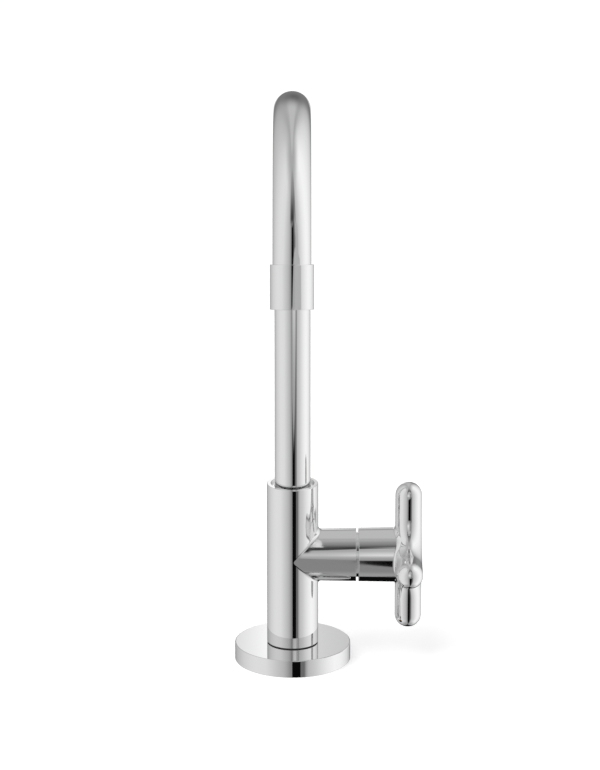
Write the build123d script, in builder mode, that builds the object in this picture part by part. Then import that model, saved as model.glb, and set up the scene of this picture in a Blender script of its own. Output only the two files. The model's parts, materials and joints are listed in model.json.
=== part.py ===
"""Cross-handle basin tap: one swivelling gooseneck spout and one quarter-turn side valve.

Millimetres. The origin is the centre of the flange's underside, on the deck. +Z is up, the
spout points along -Y and the valve branch with its cross handle points along +X.
"""
from build123d import *
from math import cos, radians, sin, sqrt
import os

os.makedirs("parts", exist_ok=True)

# Clearances
running_gap = 0.05        # radial, between pieces that turn on each other
screwed_gap = 0.025       # radial, between a screwed or pressed pair
loose_gap = 0.2           # radial, round a piece that only drops into its place
face_gap = 0.05           # along the axis, between faces that slide on each other
cut_past = 1.0            # how far a cut starts outside the surface that it cuts

# Base flange and what clamps the tap to the deck
flange_d = 58.8
flange_t = 9.0
flange_edge_r = 0.5
gasket_outer_d = 52.0
gasket_w = 6.0            # across the ring
gasket_t = 2.0
deck_t = 30.0             # the deck that the fixings are drawn for
under_washer_d = 44.0
rubber_washer_t = 3.0
steel_washer_t = 2.0
backnut_across_flats = 30.0
backnut_t = 8.0
backnut_chamfer = 1.2

# Threaded shank: fixing thread above, supply thread below
shank_d = 20.955
shank_bore_d = 12.0
shank_neck_d = 18.0       # the end that screws into the body
shank_neck_l = 17.4
supply_thread_l = 13.0
relief_d = 18.8
relief_l = 1.6
thread_chamfer = 0.8
shank_seal_t = 1.5

# Body
body_d = 26.0
foot_d = 24.0
foot_z = 0.6
rim_edge_r = 0.3
foot_seal_d = 25.4
foot_seal_t = 0.5         # the dark line that shows between body and flange
spout_bore_d = 21.8
spout_bore_depth = 24.0   # down from the body's rim
inlet_chamber_d = 14.0
inlet_chamber_top_z = 26.0
inlet_drill_d = 8.0
inlet_drill_x = -6.0
inlet_port_d = 10.0
outlet_drill_d = 6.4
outlet_drill_x = 4.0

# Valve branch
valve_z = 55.7
valve_to_rim = 38.3       # from the valve's axis up to the rim of the body
branch_end_x = 32.2
branch_root_d = 25.96     # a hair under the body, so that the two meet in one seam
branch_end_d = 27.0
branch_fillet_r = 2.0
chamber_d = 19.4
chamber_l = 16.0
valve_thread_d = 20.955
collar_seat_x = 28.0
branch_mouth_d = 23.0

# Quarter-turn valve, measured along +X from its seat in the body
disc_d = 16.0
disc_t = 3.2
disc_port_r = 6.4
disc_port_inner_r = 1.8
disc_port_angle = 76.0
disc_notch_w = 3.0
disc_notch_depth = 1.5
seat_seal_t = 2.6
seat_seal_inner_d = 11.0
nose_start_x = 0.6
nose_d = 18.0
nose_window_x = 9.6
nose_window_l = 3.6
nose_window_w = 11.0
drive_bar_t = 3.5
drive_bar_w = 6.0
drive_bar_l = 15.0
spindle_collar_d = 12.4
spindle_collar_t = 2.0
slip_washer_t = 0.8
spindle_d = 8.0
spindle_groove_x = (19.0, 23.0)
spindle_groove_w = 1.5
spindle_seal_d = 1.1
valve_collar_d = 22.4
valve_collar_t = 2.0
valve_gasket_t = 1.0
valve_hex_across_flats = 16.0
valve_hex_l = 6.0
valve_neck_d = 13.0
valve_neck_l = 3.0
clip_t = 0.8
clip_outer_d = 10.6
clip_groove_d = 7.0
clip_mouth_w = 5.0
spline_start_x = 43.0
spline_l = 10.0
spline_teeth = 20
spline_tip_d = 7.8
spline_root_d = 6.9
spline_foot_share = 0.72  # of the pitch, a tooth's width at its foot
spline_tip_share = 0.28

# Guide sleeve that shows in the groove between branch and handle
sleeve_d = 22.84
sleeve_inner_d = 19.2
sleeve_end_x = 39.0

# Cross handle
handle_start_x = 33.45
hub_start_d = 27.12
hub_end_d = 27.7
hub_end_x = 53.0
hub_end_r = 2.5
hub_bore_floor_x = 44.0
cross_x = 58.7
arm_d = 13.4
arm_span = 77.0
arm_round_r = 6.6
arm_web_r = 8.0
hub_fillet_r = 1.2
hub_edge_r = 0.25
insert_d = 11.0
insert_l = 12.0
handle_screw_x = 47.0
handle_screw_d = 4.0
handle_screw_l = 6.0
hex_socket_across_flats = 2.0
hex_socket_depth = 2.0

# Spout
tube_d = 18.0
tube_wall = 1.0
riser_l = 136.2           # from the body's rim to the height of the arch's centre
arch_r = 72.6
outlet_tilt = 14.4        # the outlet's lean from the vertical, away from the body
tube_in_spigot_l = 8.0
spigot_bore_d = 15.0
spigot_groove_up = (2.55, 6.55)   # the grooves' middles above the spigot's foot
spigot_groove_w = 2.0
spigot_seal_d = 1.5
thrust_washer_t = 1.0
lock_groove_down = 3.5    # the groove's middle below the spigot's top
lock_groove_w = 2.8
lock_groove_depth = 1.0
lock_screw_d = 4.0
lock_screw_tip_d = 2.4
guide_ring_recess = 1.4   # below the body's rim
guide_ring_l = 3.7
guide_ring_gap = 0.4      # between the ring and the spigot's top

# Outlet sleeve and aerator, measured along the outlet from the sleeve's upper end
outlet_sleeve_d = 20.4
outlet_sleeve_l = 20.9
outlet_sleeve_edge_r = 0.25
tube_in_sleeve_l = 8.4
aerator_bore_d = 18.5
aerator_washer_t = 1.1
aerator_l = 10.4
aerator_wall = 1.5
aerator_lip_t = 0.8
aerator_lip_w = 0.8
aerator_key_w = 2.4
aerator_key_depth = 0.5
aerator_key_count = 4
insert_disc_t = 6.0
insert_hole_d = 1.8
insert_ring_r = (2.9, 5.5)
insert_ring_count = (6, 12)
screen_t = 0.5
screen_pitch = 1.5
screen_hole = 1.05

# Heights of the body's rim and, from there down, of what the spout's socket holds
body_top_z = valve_z + valve_to_rim
spout_bore_z = body_top_z - spout_bore_depth
guide_ring_z = body_top_z - guide_ring_recess - guide_ring_l
spigot_top_z = guide_ring_z - guide_ring_gap
spigot_foot_z = spout_bore_z + thrust_washer_t + face_gap
tube_foot_z = spigot_top_z - tube_in_spigot_l
lock_groove_z = spigot_top_z - lock_groove_down
arch_centre_z = body_top_z + riser_l

# Frames that the pieces share
valve_profile = Plane(origin=(0, 0, valve_z), x_dir=(1, 0, 0), z_dir=(0, -1, 0))
valve_across = Plane(origin=(0, 0, valve_z), x_dir=(0, 1, 0), z_dir=(1, 0, 0))
valve_axis = Axis((0, 0, valve_z), (1, 0, 0))
lean = radians(outlet_tilt)
outlet_dir = (0, -sin(lean), -cos(lean))
arch_end = (0, -arch_r * (1 + cos(lean)), arch_centre_z + arch_r * sin(lean))
outlet_plane = Plane(origin=arch_end, x_dir=(1, 0, 0), z_dir=outlet_dir)


# Base flange: a turned plate with a recess for its gasket
foot_hole_d = foot_d + 2 * loose_gap
gasket_inner_d = gasket_outer_d - 2 * gasket_w
with BuildPart() as base_flange:
    with BuildSketch():
        Circle(flange_d / 2)
        Circle(foot_hole_d / 2, mode=Mode.SUBTRACT)
    extrude(amount=flange_t)
    outer_top = base_flange.edges().group_by(Axis.Z)[-1].sort_by(SortBy.RADIUS)[-1]
    fillet(outer_top, flange_edge_r)
    with BuildSketch():
        Circle(gasket_outer_d / 2)
        Circle(gasket_inner_d / 2, mode=Mode.SUBTRACT)
    extrude(amount=gasket_t, mode=Mode.SUBTRACT)
base_flange.part.label = "base_flange"
export_step(base_flange.part, "parts/base_flange.step")

# Deck gasket: the rubber ring in the flange's recess, level with its underside
with BuildPart() as deck_gasket:
    with BuildSketch():
        Circle(gasket_outer_d / 2 - screwed_gap)
        Circle(gasket_inner_d / 2 + screwed_gap, mode=Mode.SUBTRACT)
    extrude(amount=gasket_t)
deck_gasket.part.label = "deck_gasket"
export_step(deck_gasket.part, "parts/deck_gasket.step")

# Body: upright barrel, tapered branch, foot spigot, waterways and valve chamber
shank_hole_d = shank_neck_d + 2 * screwed_gap
shank_hole_top_z = foot_z + shank_neck_l + shank_seal_t
barrel_foot_z = flange_t + foot_seal_t
valve_bore_d = valve_thread_d
outlet_drill_foot_z = valve_z + chamber_d / 4
lock_hole_r = lock_screw_d / 2 + screwed_gap
with BuildPart() as tap_body:
    with BuildSketch(Plane.XY.offset(barrel_foot_z)):
        Circle(body_d / 2)
    extrude(amount=body_top_z - barrel_foot_z)
    with BuildSketch(valve_profile):
        with BuildLine():
            Polyline(
                (0, 0),
                (0, branch_root_d / 2),
                (branch_end_x, branch_end_d / 2),
                (branch_end_x, 0),
                close=True,
            )
        make_face()
    revolve(axis=valve_axis)
    plain = (GeomType.LINE, GeomType.CIRCLE)
    fillet(tap_body.edges().filter_by(lambda e: e.geom_type not in plain), branch_fillet_r)
    fillet(tap_body.edges().group_by(Axis.Z)[-1], rim_edge_r)
    with BuildSketch(Plane.XY.offset(foot_z)):
        Circle(foot_d / 2)
    extrude(amount=barrel_foot_z - foot_z)
    with BuildSketch(Plane.XY.offset(foot_z)):
        Circle(shank_hole_d / 2)
    extrude(amount=shank_hole_top_z - foot_z, mode=Mode.SUBTRACT)
    with BuildSketch(Plane.XY.offset(shank_hole_top_z)):
        Circle(inlet_chamber_d / 2)
    extrude(amount=inlet_chamber_top_z - shank_hole_top_z, mode=Mode.SUBTRACT)
    with BuildSketch(Plane.XY.offset(shank_hole_top_z)):
        with Locations((inlet_drill_x, 0)):
            Circle(inlet_drill_d / 2)
    extrude(amount=valve_z + inlet_port_d / 4 - shank_hole_top_z, mode=Mode.SUBTRACT)
    with BuildSketch(valve_across.offset(inlet_drill_x)):
        Circle(inlet_port_d / 2)
    extrude(amount=-inlet_drill_x, mode=Mode.SUBTRACT)
    with BuildSketch(valve_profile):
        with BuildLine():
            Polyline(
                (0, 0),
                (0, chamber_d / 2),
                (chamber_l, chamber_d / 2),
                (chamber_l, valve_bore_d / 2),
                (collar_seat_x, valve_bore_d / 2),
                (collar_seat_x, branch_mouth_d / 2),
                (branch_end_x, branch_mouth_d / 2),
                (branch_end_x, 0),
                close=True,
            )
        make_face()
    revolve(axis=valve_axis, mode=Mode.SUBTRACT)
    with BuildSketch(Plane.XY.offset(outlet_drill_foot_z)):
        with Locations((outlet_drill_x, 0)):
            Circle(outlet_drill_d / 2)
    extrude(amount=spout_bore_z - outlet_drill_foot_z, mode=Mode.SUBTRACT)
    with BuildSketch(Plane.XY.offset(spout_bore_z)):
        Circle(spout_bore_d / 2)
    extrude(amount=body_top_z - spout_bore_z, mode=Mode.SUBTRACT)
    with BuildSketch(Plane.XZ.offset(-body_d / 2 - cut_past)):
        with Locations((0, lock_groove_z)):
            Circle(lock_hole_r)
    extrude(amount=body_d / 2, mode=Mode.SUBTRACT)
tap_body.part.label = "tap_body"
export_step(tap_body.part, "parts/tap_body.step")

# Foot seal: the flat ring between the body's shoulder and the top of the flange
with BuildPart() as foot_seal:
    with BuildSketch(Plane.XY.offset(flange_t)):
        Circle(foot_seal_d / 2)
        Circle(foot_d / 2 + screwed_gap, mode=Mode.SUBTRACT)
    extrude(amount=foot_seal_t)
foot_seal.part.label = "foot_seal"
export_step(foot_seal.part, "parts/foot_seal.step")

# Threaded shank: hollow, screwed into the body, with the supply thread at its foot
clamp_foot_z = -deck_t - rubber_washer_t - steel_washer_t - backnut_t
shank_end_z = clamp_foot_z - relief_l - supply_thread_l
with BuildPart() as threaded_shank:
    with BuildSketch(Plane.XZ):
        with BuildLine():
            Polyline(
                (shank_bore_d / 2, shank_end_z),
                (shank_d / 2 - thread_chamfer, shank_end_z),
                (shank_d / 2, shank_end_z + thread_chamfer),
                (shank_d / 2, clamp_foot_z - relief_l),
                (relief_d / 2, clamp_foot_z - relief_l),
                (relief_d / 2, clamp_foot_z),
                (shank_d / 2, clamp_foot_z),
                (shank_d / 2, foot_z),
                (shank_neck_d / 2, foot_z),
                (shank_neck_d / 2, foot_z + shank_neck_l),
                (shank_bore_d / 2, foot_z + shank_neck_l),
                close=True,
            )
        make_face()
    revolve(axis=Axis.Z)
threaded_shank.part.label = "threaded_shank"
export_step(threaded_shank.part, "parts/threaded_shank.step")

# Shank seal: flat ring between the shank's end and the body
with BuildPart() as shank_seal:
    with BuildSketch(Plane.XY.offset(foot_z + shank_neck_l)):
        Circle(shank_neck_d / 2)
        Circle(inlet_chamber_d / 2, mode=Mode.SUBTRACT)
    extrude(amount=shank_seal_t)
shank_seal.part.label = "shank_seal"
export_step(shank_seal.part, "parts/shank_seal.step")

# Under-deck rubber washer
with BuildPart() as rubber_washer:
    with BuildSketch(Plane.XY.offset(-deck_t)):
        Circle(under_washer_d / 2)
        Circle(shank_d / 2 + loose_gap, mode=Mode.SUBTRACT)
    extrude(amount=-rubber_washer_t)
rubber_washer.part.label = "rubber_washer"
export_step(rubber_washer.part, "parts/rubber_washer.step")

# Steel clamp washer
with BuildPart() as steel_washer:
    with BuildSketch(Plane.XY.offset(-deck_t - rubber_washer_t)):
        Circle(under_washer_d / 2)
        Circle(shank_d / 2 + loose_gap, mode=Mode.SUBTRACT)
    extrude(amount=-steel_washer_t)
steel_washer.part.label = "steel_washer"
export_step(steel_washer.part, "parts/steel_washer.step")

# Backnut, with both ends of its hexagon turned down to a cone
nut_corner_r = backnut_across_flats / 2 / cos(radians(30))
with BuildPart() as backnut:
    with BuildSketch(Plane.XY.offset(clamp_foot_z)):
        RegularPolygon(nut_corner_r, 6)
    extrude(amount=backnut_t)
    with BuildSketch(Plane.XZ):
        with BuildLine():
            Polyline(
                (shank_d / 2 + screwed_gap, clamp_foot_z),
                (nut_corner_r - backnut_chamfer, clamp_foot_z),
                (nut_corner_r, clamp_foot_z + backnut_chamfer / 2),
                (nut_corner_r, clamp_foot_z + backnut_t - backnut_chamfer / 2),
                (nut_corner_r - backnut_chamfer, clamp_foot_z + backnut_t),
                (shank_d / 2 + screwed_gap, clamp_foot_z + backnut_t),
                close=True,
            )
        make_face()
    revolve(axis=Axis.Z, mode=Mode.INTERSECT)
backnut.part.label = "backnut"
export_step(backnut.part, "parts/backnut.step")

# Seat seal: the rubber ring that the fixed disc presses onto the body's seat
with BuildPart() as seat_seal:
    with BuildSketch(valve_across):
        Circle(disc_d / 2)
        Circle(seat_seal_inner_d / 2, mode=Mode.SUBTRACT)
    extrude(amount=seat_seal_t)
seat_seal.part.label = "seat_seal"
export_step(seat_seal.part, "parts/seat_seal.step")


def port_outline(turn):
    """Outline of one disc port, a ring sector centred at turn degrees round the disc."""
    start = turn - disc_port_angle / 2
    outer = CenterArc((0, 0), disc_port_r, start, disc_port_angle)
    inner = CenterArc((0, 0), disc_port_inner_r, start, disc_port_angle)
    Line(outer @ 0, inner @ 0)
    Line(outer @ 1, inner @ 1)


# Fixed ceramic disc, with its ports above and below the axis
fixed_disc_x = seat_seal_t
with BuildPart() as fixed_disc:
    with BuildSketch(valve_across.offset(fixed_disc_x)):
        Circle(disc_d / 2)
        for turn in (90, 270):
            with BuildLine():
                port_outline(turn)
            make_face(mode=Mode.SUBTRACT)
    extrude(amount=disc_t)
fixed_disc.part.label = "fixed_disc"
export_step(fixed_disc.part, "parts/fixed_disc.step")

# Turning ceramic disc, shut at rest: its ports lie a quarter turn from the fixed ones
turning_disc_x = fixed_disc_x + disc_t + face_gap
turning_disc_end_x = turning_disc_x + disc_t
with BuildPart() as turning_disc:
    with BuildSketch(valve_across.offset(turning_disc_x)):
        Circle(disc_d / 2)
        for turn in (0, 180):
            with BuildLine():
                port_outline(turn)
            make_face(mode=Mode.SUBTRACT)
    extrude(amount=disc_t)
    with BuildSketch(valve_across.offset(turning_disc_end_x)):
        Rectangle(disc_notch_w, disc_d + cut_past)
        Circle(disc_port_r, mode=Mode.SUBTRACT)
    extrude(amount=-disc_notch_depth, mode=Mode.SUBTRACT)
turning_disc.part.label = "turning_disc"
export_step(turning_disc.part, "parts/turning_disc.step")

# Spindle: drive bar with two lugs, collar, stem with seal grooves, and the splined end
drive_bar_x = turning_disc_end_x + face_gap
collar_x = drive_bar_x + drive_bar_t
collar_end_x = collar_x + spindle_collar_t
spline_end_x = spline_start_x + spline_l
clip_x = collar_seat_x + valve_gasket_t + valve_collar_t + valve_hex_l + valve_neck_l + loose_gap
spindle_groove_floor_r = spindle_d / 2 + running_gap - spindle_seal_d
tooth_pitch = 360 / spline_teeth


def spline_outline(tip_r, root_r):
    """Closed outline of the spline: a trapezium tooth for every pitch, between two radii."""
    foot = spline_foot_share / 2
    tip = spline_tip_share / 2
    points = []
    for tooth in range(spline_teeth):
        for share, r in ((-foot, root_r), (-tip, tip_r), (tip, tip_r), (foot, root_r)):
            angle = radians((tooth + share) * tooth_pitch)
            points.append((r * cos(angle), r * sin(angle)))
    Polyline(*points, close=True)


with BuildPart() as spindle:
    with BuildSketch(valve_across.offset(drive_bar_x)):
        Circle(drive_bar_l / 2)
        Rectangle(drive_bar_w, drive_bar_l, mode=Mode.INTERSECT)
    extrude(amount=drive_bar_t)
    with BuildSketch(valve_across.offset(drive_bar_x)):
        Circle(drive_bar_l / 2)
        Circle(disc_port_r + loose_gap, mode=Mode.SUBTRACT)
        Rectangle(disc_notch_w - loose_gap, drive_bar_l, mode=Mode.INTERSECT)
    extrude(amount=-(disc_notch_depth - face_gap))
    with BuildSketch(valve_across.offset(collar_x)):
        Circle(spindle_collar_d / 2)
    extrude(amount=spindle_collar_t)
    with BuildSketch(valve_across.offset(collar_end_x)):
        Circle(spindle_d / 2)
    extrude(amount=spline_start_x - collar_end_x)
    with BuildSketch(valve_across.offset(spline_start_x)):
        with BuildLine():
            spline_outline(spline_tip_d / 2, spline_root_d / 2)
        make_face()
    extrude(amount=spline_l)
    for groove_x in spindle_groove_x:
        with BuildSketch(valve_across.offset(groove_x - spindle_groove_w / 2)):
            Circle(spindle_d)
            Circle(spindle_groove_floor_r, mode=Mode.SUBTRACT)
        extrude(amount=spindle_groove_w, mode=Mode.SUBTRACT)
    with BuildSketch(valve_across.offset(clip_x)):
        Circle(spindle_d)
        Circle(clip_groove_d / 2, mode=Mode.SUBTRACT)
    extrude(amount=clip_t, mode=Mode.SUBTRACT)
spindle.part.label = "spindle"
export_step(spindle.part, "parts/spindle.step")

# Slip washer: plastic ring between the spindle's collar and the valve housing
slip_washer_x = collar_end_x + face_gap
with BuildPart() as slip_washer:
    with BuildSketch(valve_across.offset(slip_washer_x)):
        Circle(spindle_collar_d / 2)
        Circle(spindle_d / 2 + loose_gap, mode=Mode.SUBTRACT)
    extrude(amount=slip_washer_t)
slip_washer.part.label = "slip_washer"
export_step(slip_washer.part, "parts/slip_washer.step")

# Valve housing: windowed nose round the discs, thread, collar, hexagon and neck
housing_shoulder_x = slip_washer_x + slip_washer_t
valve_collar_x = collar_seat_x + valve_gasket_t
valve_hex_x = valve_collar_x + valve_collar_t
valve_neck_x = valve_hex_x + valve_hex_l
valve_end_x = valve_neck_x + valve_neck_l
stem_bore_r = spindle_d / 2 + running_gap
nose_bore_r = disc_d / 2 + loose_gap
with BuildPart() as valve_housing:
    with BuildSketch(valve_profile):
        with BuildLine():
            Polyline(
                (nose_start_x, nose_bore_r),
                (nose_start_x, nose_d / 2),
                (chamber_l, nose_d / 2),
                (chamber_l, valve_thread_d / 2 - screwed_gap),
                (valve_collar_x, valve_thread_d / 2 - screwed_gap),
                (valve_collar_x, valve_collar_d / 2),
                (valve_hex_x, valve_collar_d / 2),
                (valve_hex_x, valve_neck_d / 2),
                (valve_end_x, valve_neck_d / 2),
                (valve_end_x, stem_bore_r),
                (housing_shoulder_x, stem_bore_r),
                (housing_shoulder_x, nose_bore_r),
                close=True,
            )
        make_face()
    revolve(axis=valve_axis)
    with BuildSketch(valve_across.offset(valve_hex_x)):
        RegularPolygon(valve_hex_across_flats / 2, 6, major_radius=False)
        Circle(stem_bore_r, mode=Mode.SUBTRACT)
    extrude(amount=valve_hex_l)
    with BuildSketch(valve_across.offset(nose_window_x)):
        Rectangle(nose_window_w, nose_d + cut_past)
    extrude(amount=nose_window_l, mode=Mode.SUBTRACT)
valve_housing.part.label = "valve_housing"
export_step(valve_housing.part, "parts/valve_housing.step")

# Valve gasket: flat ring under the housing's collar
with BuildPart() as valve_gasket:
    with BuildSketch(valve_across.offset(collar_seat_x)):
        Circle(valve_collar_d / 2)
        Circle(valve_thread_d / 2, mode=Mode.SUBTRACT)
    extrude(amount=valve_gasket_t)
valve_gasket.part.label = "valve_gasket"
export_step(valve_gasket.part, "parts/valve_gasket.step")

# Spindle seals: two O-rings in the stem's grooves
with BuildPart() as spindle_seals:
    with BuildSketch(valve_profile):
        for groove_x in spindle_groove_x:
            with Locations((groove_x, spindle_groove_floor_r + spindle_seal_d / 2)):
                Circle(spindle_seal_d / 2)
    revolve(axis=valve_axis)
spindle_seals.part.label = "spindle_seals"
export_step(spindle_seals.part, "parts/spindle_seals.step")

# Spindle clip: open spring ring that keeps the stem in its housing
with BuildPart() as spindle_clip:
    with BuildSketch(valve_across.offset(clip_x)):
        Circle(clip_outer_d / 2)
        Circle(clip_groove_d / 2, mode=Mode.SUBTRACT)
        with Locations((clip_outer_d / 2, 0)):
            Rectangle(clip_outer_d, clip_mouth_w, mode=Mode.SUBTRACT)
    extrude(amount=clip_t)
spindle_clip.part.label = "spindle_clip"
export_step(spindle_clip.part, "parts/spindle_clip.step")

# Guide sleeve: pressed into the branch's mouth, it carries the handle's hub
with BuildPart() as guide_sleeve:
    with BuildSketch(valve_profile):
        with BuildLine():
            Polyline(
                (valve_hex_x, sleeve_inner_d / 2),
                (valve_hex_x, branch_mouth_d / 2),
                (branch_end_x, branch_mouth_d / 2),
                (branch_end_x, sleeve_d / 2),
                (sleeve_end_x, sleeve_d / 2),
                (sleeve_end_x, sleeve_inner_d / 2),
                close=True,
            )
        make_face()
    revolve(axis=valve_axis)
guide_sleeve.part.label = "guide_sleeve"
export_step(guide_sleeve.part, "parts/guide_sleeve.step")

# Cross handle: flared hub that flows into four round-ended arms
hub_bore_r = sleeve_d / 2 + running_gap
insert_end_x = hub_bore_floor_x + insert_l
half_arm = arm_d / 2


def on_hub_seam(edge):
    """True for an edge that lies where the hub's end runs into the arms."""
    for share in (0.1, 0.5, 0.9):
        point = edge @ share
        from_axis = Vector(0, point.Y, point.Z - valve_z).length
        if not hub_end_x - half_arm < point.X < hub_end_x + 2 * hub_end_r:
            return False
        if from_axis < half_arm + hub_edge_r:
            return False
    return True


with BuildPart() as arms:
    with BuildSketch(valve_across.offset(cross_x - half_arm)) as cross_outline:
        SlotOverall(arm_span, arm_d)
        SlotOverall(arm_span, arm_d, rotation=90)
        crotches = cross_outline.vertices().filter_by(
            lambda v: abs(v.X) < half_arm + running_gap and abs(v.Y) < half_arm + running_gap
        )
        fillet(crotches, arm_web_r)
    extrude(amount=arm_d)
    fillet(arms.edges().filter_by(Axis.X, reverse=True), arm_round_r)
with BuildPart() as cross_handle:
    with BuildSketch(valve_profile):
        with BuildLine():
            hub_face = Line((handle_start_x, 0), (handle_start_x, hub_start_d / 2))
            hub_side = Line(hub_face @ 1, (hub_end_x, hub_end_d / 2))
            hub_nose = TangentArc(
                hub_side @ 1, (hub_end_x + hub_end_r, hub_end_d / 2 - hub_end_r), tangent=(1, 0)
            )
            Polyline(hub_nose @ 1, (hub_end_x + hub_end_r, 0), hub_face @ 0)
        make_face()
    revolve(axis=valve_axis)
    hub_edge = cross_handle.edges().group_by(Axis.X)[0]
    fillet(hub_edge, hub_edge_r)
    add(arms.part)
    fillet(cross_handle.edges().filter_by(on_hub_seam), hub_fillet_r)
    with BuildSketch(valve_across.offset(handle_start_x)):
        Circle(hub_bore_r)
    extrude(amount=hub_bore_floor_x - handle_start_x, mode=Mode.SUBTRACT)
    with BuildSketch(valve_across.offset(hub_bore_floor_x)):
        Circle(insert_d / 2 + screwed_gap)
    extrude(amount=insert_l, mode=Mode.SUBTRACT)
    with BuildSketch(Plane.XY.offset(valve_z)):
        with Locations((handle_screw_x, 0)):
            Circle(handle_screw_d / 2 + screwed_gap)
    extrude(amount=-hub_end_d, mode=Mode.SUBTRACT)
cross_handle.part.label = "cross_handle"
export_step(cross_handle.part, "parts/cross_handle.step")

# Spline insert: takes the spindle's spline and carries the handle
with BuildPart() as spline_insert:
    with BuildSketch(valve_across.offset(hub_bore_floor_x)):
        Circle(insert_d / 2)
        with BuildLine():
            spline_outline(spline_tip_d / 2 + running_gap, spline_root_d / 2 + running_gap)
        make_face(mode=Mode.SUBTRACT)
    extrude(amount=spline_end_x + loose_gap - hub_bore_floor_x)
    with BuildSketch(valve_across.offset(insert_end_x)):
        Circle(insert_d / 2)
    extrude(amount=spline_end_x + loose_gap - insert_end_x)
spline_insert.part.label = "spline_insert"
export_step(spline_insert.part, "parts/spline_insert.step")

# Handle screw: grub screw under the hub, its tip on the insert
handle_screw_tip_z = valve_z - insert_d / 2 - screwed_gap
with BuildPart() as handle_screw:
    with BuildSketch(Plane.XY.offset(handle_screw_tip_z)):
        with Locations((handle_screw_x, 0)):
            Circle(handle_screw_d / 2)
    extrude(amount=-handle_screw_l)
    with BuildSketch(Plane.XY.offset(handle_screw_tip_z - handle_screw_l)):
        with Locations((handle_screw_x, 0)):
            RegularPolygon(hex_socket_across_flats / 2, 6, major_radius=False)
    extrude(amount=hex_socket_depth, mode=Mode.SUBTRACT)
handle_screw.part.label = "handle_screw"
export_step(handle_screw.part, "parts/handle_screw.step")

# Thrust washer: plastic ring under the spout's spigot
spout_bore_r = spout_bore_d / 2
with BuildPart() as thrust_washer:
    with BuildSketch(Plane.XY.offset(spout_bore_z)):
        Circle(spout_bore_r - screwed_gap)
        Circle(spigot_bore_d / 2, mode=Mode.SUBTRACT)
    extrude(amount=thrust_washer_t)
thrust_washer.part.label = "thrust_washer"
export_step(thrust_washer.part, "parts/thrust_washer.step")

# Spout spigot: turned bush on the tube's foot, with two seal grooves and the lock groove
spigot_r = spout_bore_r - running_gap
spigot_groove_floor_r = spigot_r - spigot_seal_d
with BuildPart() as spout_spigot:
    with BuildSketch(Plane.XY.offset(spigot_foot_z)):
        Circle(spigot_r)
        Circle(spigot_bore_d / 2, mode=Mode.SUBTRACT)
    extrude(amount=spigot_top_z - spigot_foot_z)
    with BuildSketch(Plane.XY.offset(tube_foot_z)):
        Circle(tube_d / 2 + screwed_gap)
    extrude(amount=spigot_top_z - tube_foot_z, mode=Mode.SUBTRACT)
    for groove_up in spigot_groove_up:
        with BuildSketch(Plane.XY.offset(spigot_foot_z + groove_up - spigot_groove_w / 2)):
            Circle(spout_bore_r)
            Circle(spigot_groove_floor_r, mode=Mode.SUBTRACT)
        extrude(amount=spigot_groove_w, mode=Mode.SUBTRACT)
    with BuildSketch(Plane.XY.offset(lock_groove_z - lock_groove_w / 2)):
        Circle(spout_bore_r)
        Circle(spigot_r - lock_groove_depth, mode=Mode.SUBTRACT)
    extrude(amount=lock_groove_w, mode=Mode.SUBTRACT)
spout_spigot.part.label = "spout_spigot"
export_step(spout_spigot.part, "parts/spout_spigot.step")

# Spout seals: two O-rings on the spigot
with BuildPart() as spout_seals:
    with BuildSketch(Plane.XZ):
        for groove_up in spigot_groove_up:
            with Locations((spigot_groove_floor_r + spigot_seal_d / 2, spigot_foot_z + groove_up)):
                Circle(spigot_seal_d / 2)
    revolve(axis=Axis.Z)
spout_seals.part.label = "spout_seals"
export_step(spout_seals.part, "parts/spout_seals.step")

# Lock screw: grub screw at the back of the body, its dog point in the spigot's groove
lock_screw_foot_y = spout_bore_r
lock_screw_head_y = body_d / 2 - loose_gap
lock_screw_tip_y = spigot_r - lock_groove_depth + loose_gap
with BuildPart() as lock_screw:
    with BuildSketch(Plane.XZ.offset(-lock_screw_head_y)):
        with Locations((0, lock_groove_z)):
            Circle(lock_screw_d / 2)
            RegularPolygon(hex_socket_across_flats / 2, 6, major_radius=False, mode=Mode.SUBTRACT)
    extrude(amount=lock_screw_head_y - lock_screw_foot_y)
    with BuildSketch(Plane.XZ.offset(-lock_screw_foot_y)):
        with Locations((0, lock_groove_z)):
            Circle(lock_screw_tip_d / 2)
    extrude(amount=lock_screw_foot_y - lock_screw_tip_y)
lock_screw.part.label = "lock_screw"
export_step(lock_screw.part, "parts/lock_screw.step")

# Guide ring: plastic ring in the body's mouth, round the tube
with BuildPart() as guide_ring:
    with BuildSketch(Plane.XY.offset(guide_ring_z)):
        Circle(spout_bore_r)
        Circle(tube_d / 2 + running_gap, mode=Mode.SUBTRACT)
    extrude(amount=guide_ring_l)
guide_ring.part.label = "guide_ring"
export_step(guide_ring.part, "parts/guide_ring.step")

# Spout tube: one bent pipe, straight riser, round arch and a short straight end in the sleeve
outlet_end = tuple(a + tube_in_sleeve_l * b for a, b in zip(arch_end, outlet_dir))
arch_top = (0, -arch_r, arch_centre_z + arch_r)
with BuildPart() as spout_tube:
    with BuildLine() as tube_path:
        Line((0, 0, tube_foot_z), (0, 0, arch_centre_z))
        ThreePointArc((0, 0, arch_centre_z), arch_top, arch_end)
        Line(arch_end, outlet_end)
    with BuildSketch(Plane.XY.offset(tube_foot_z)):
        Circle(tube_d / 2)
        Circle(tube_d / 2 - tube_wall, mode=Mode.SUBTRACT)
    sweep(path=tube_path.line)
spout_tube.part.label = "spout_tube"
export_step(spout_tube.part, "parts/spout_tube.step")

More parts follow.
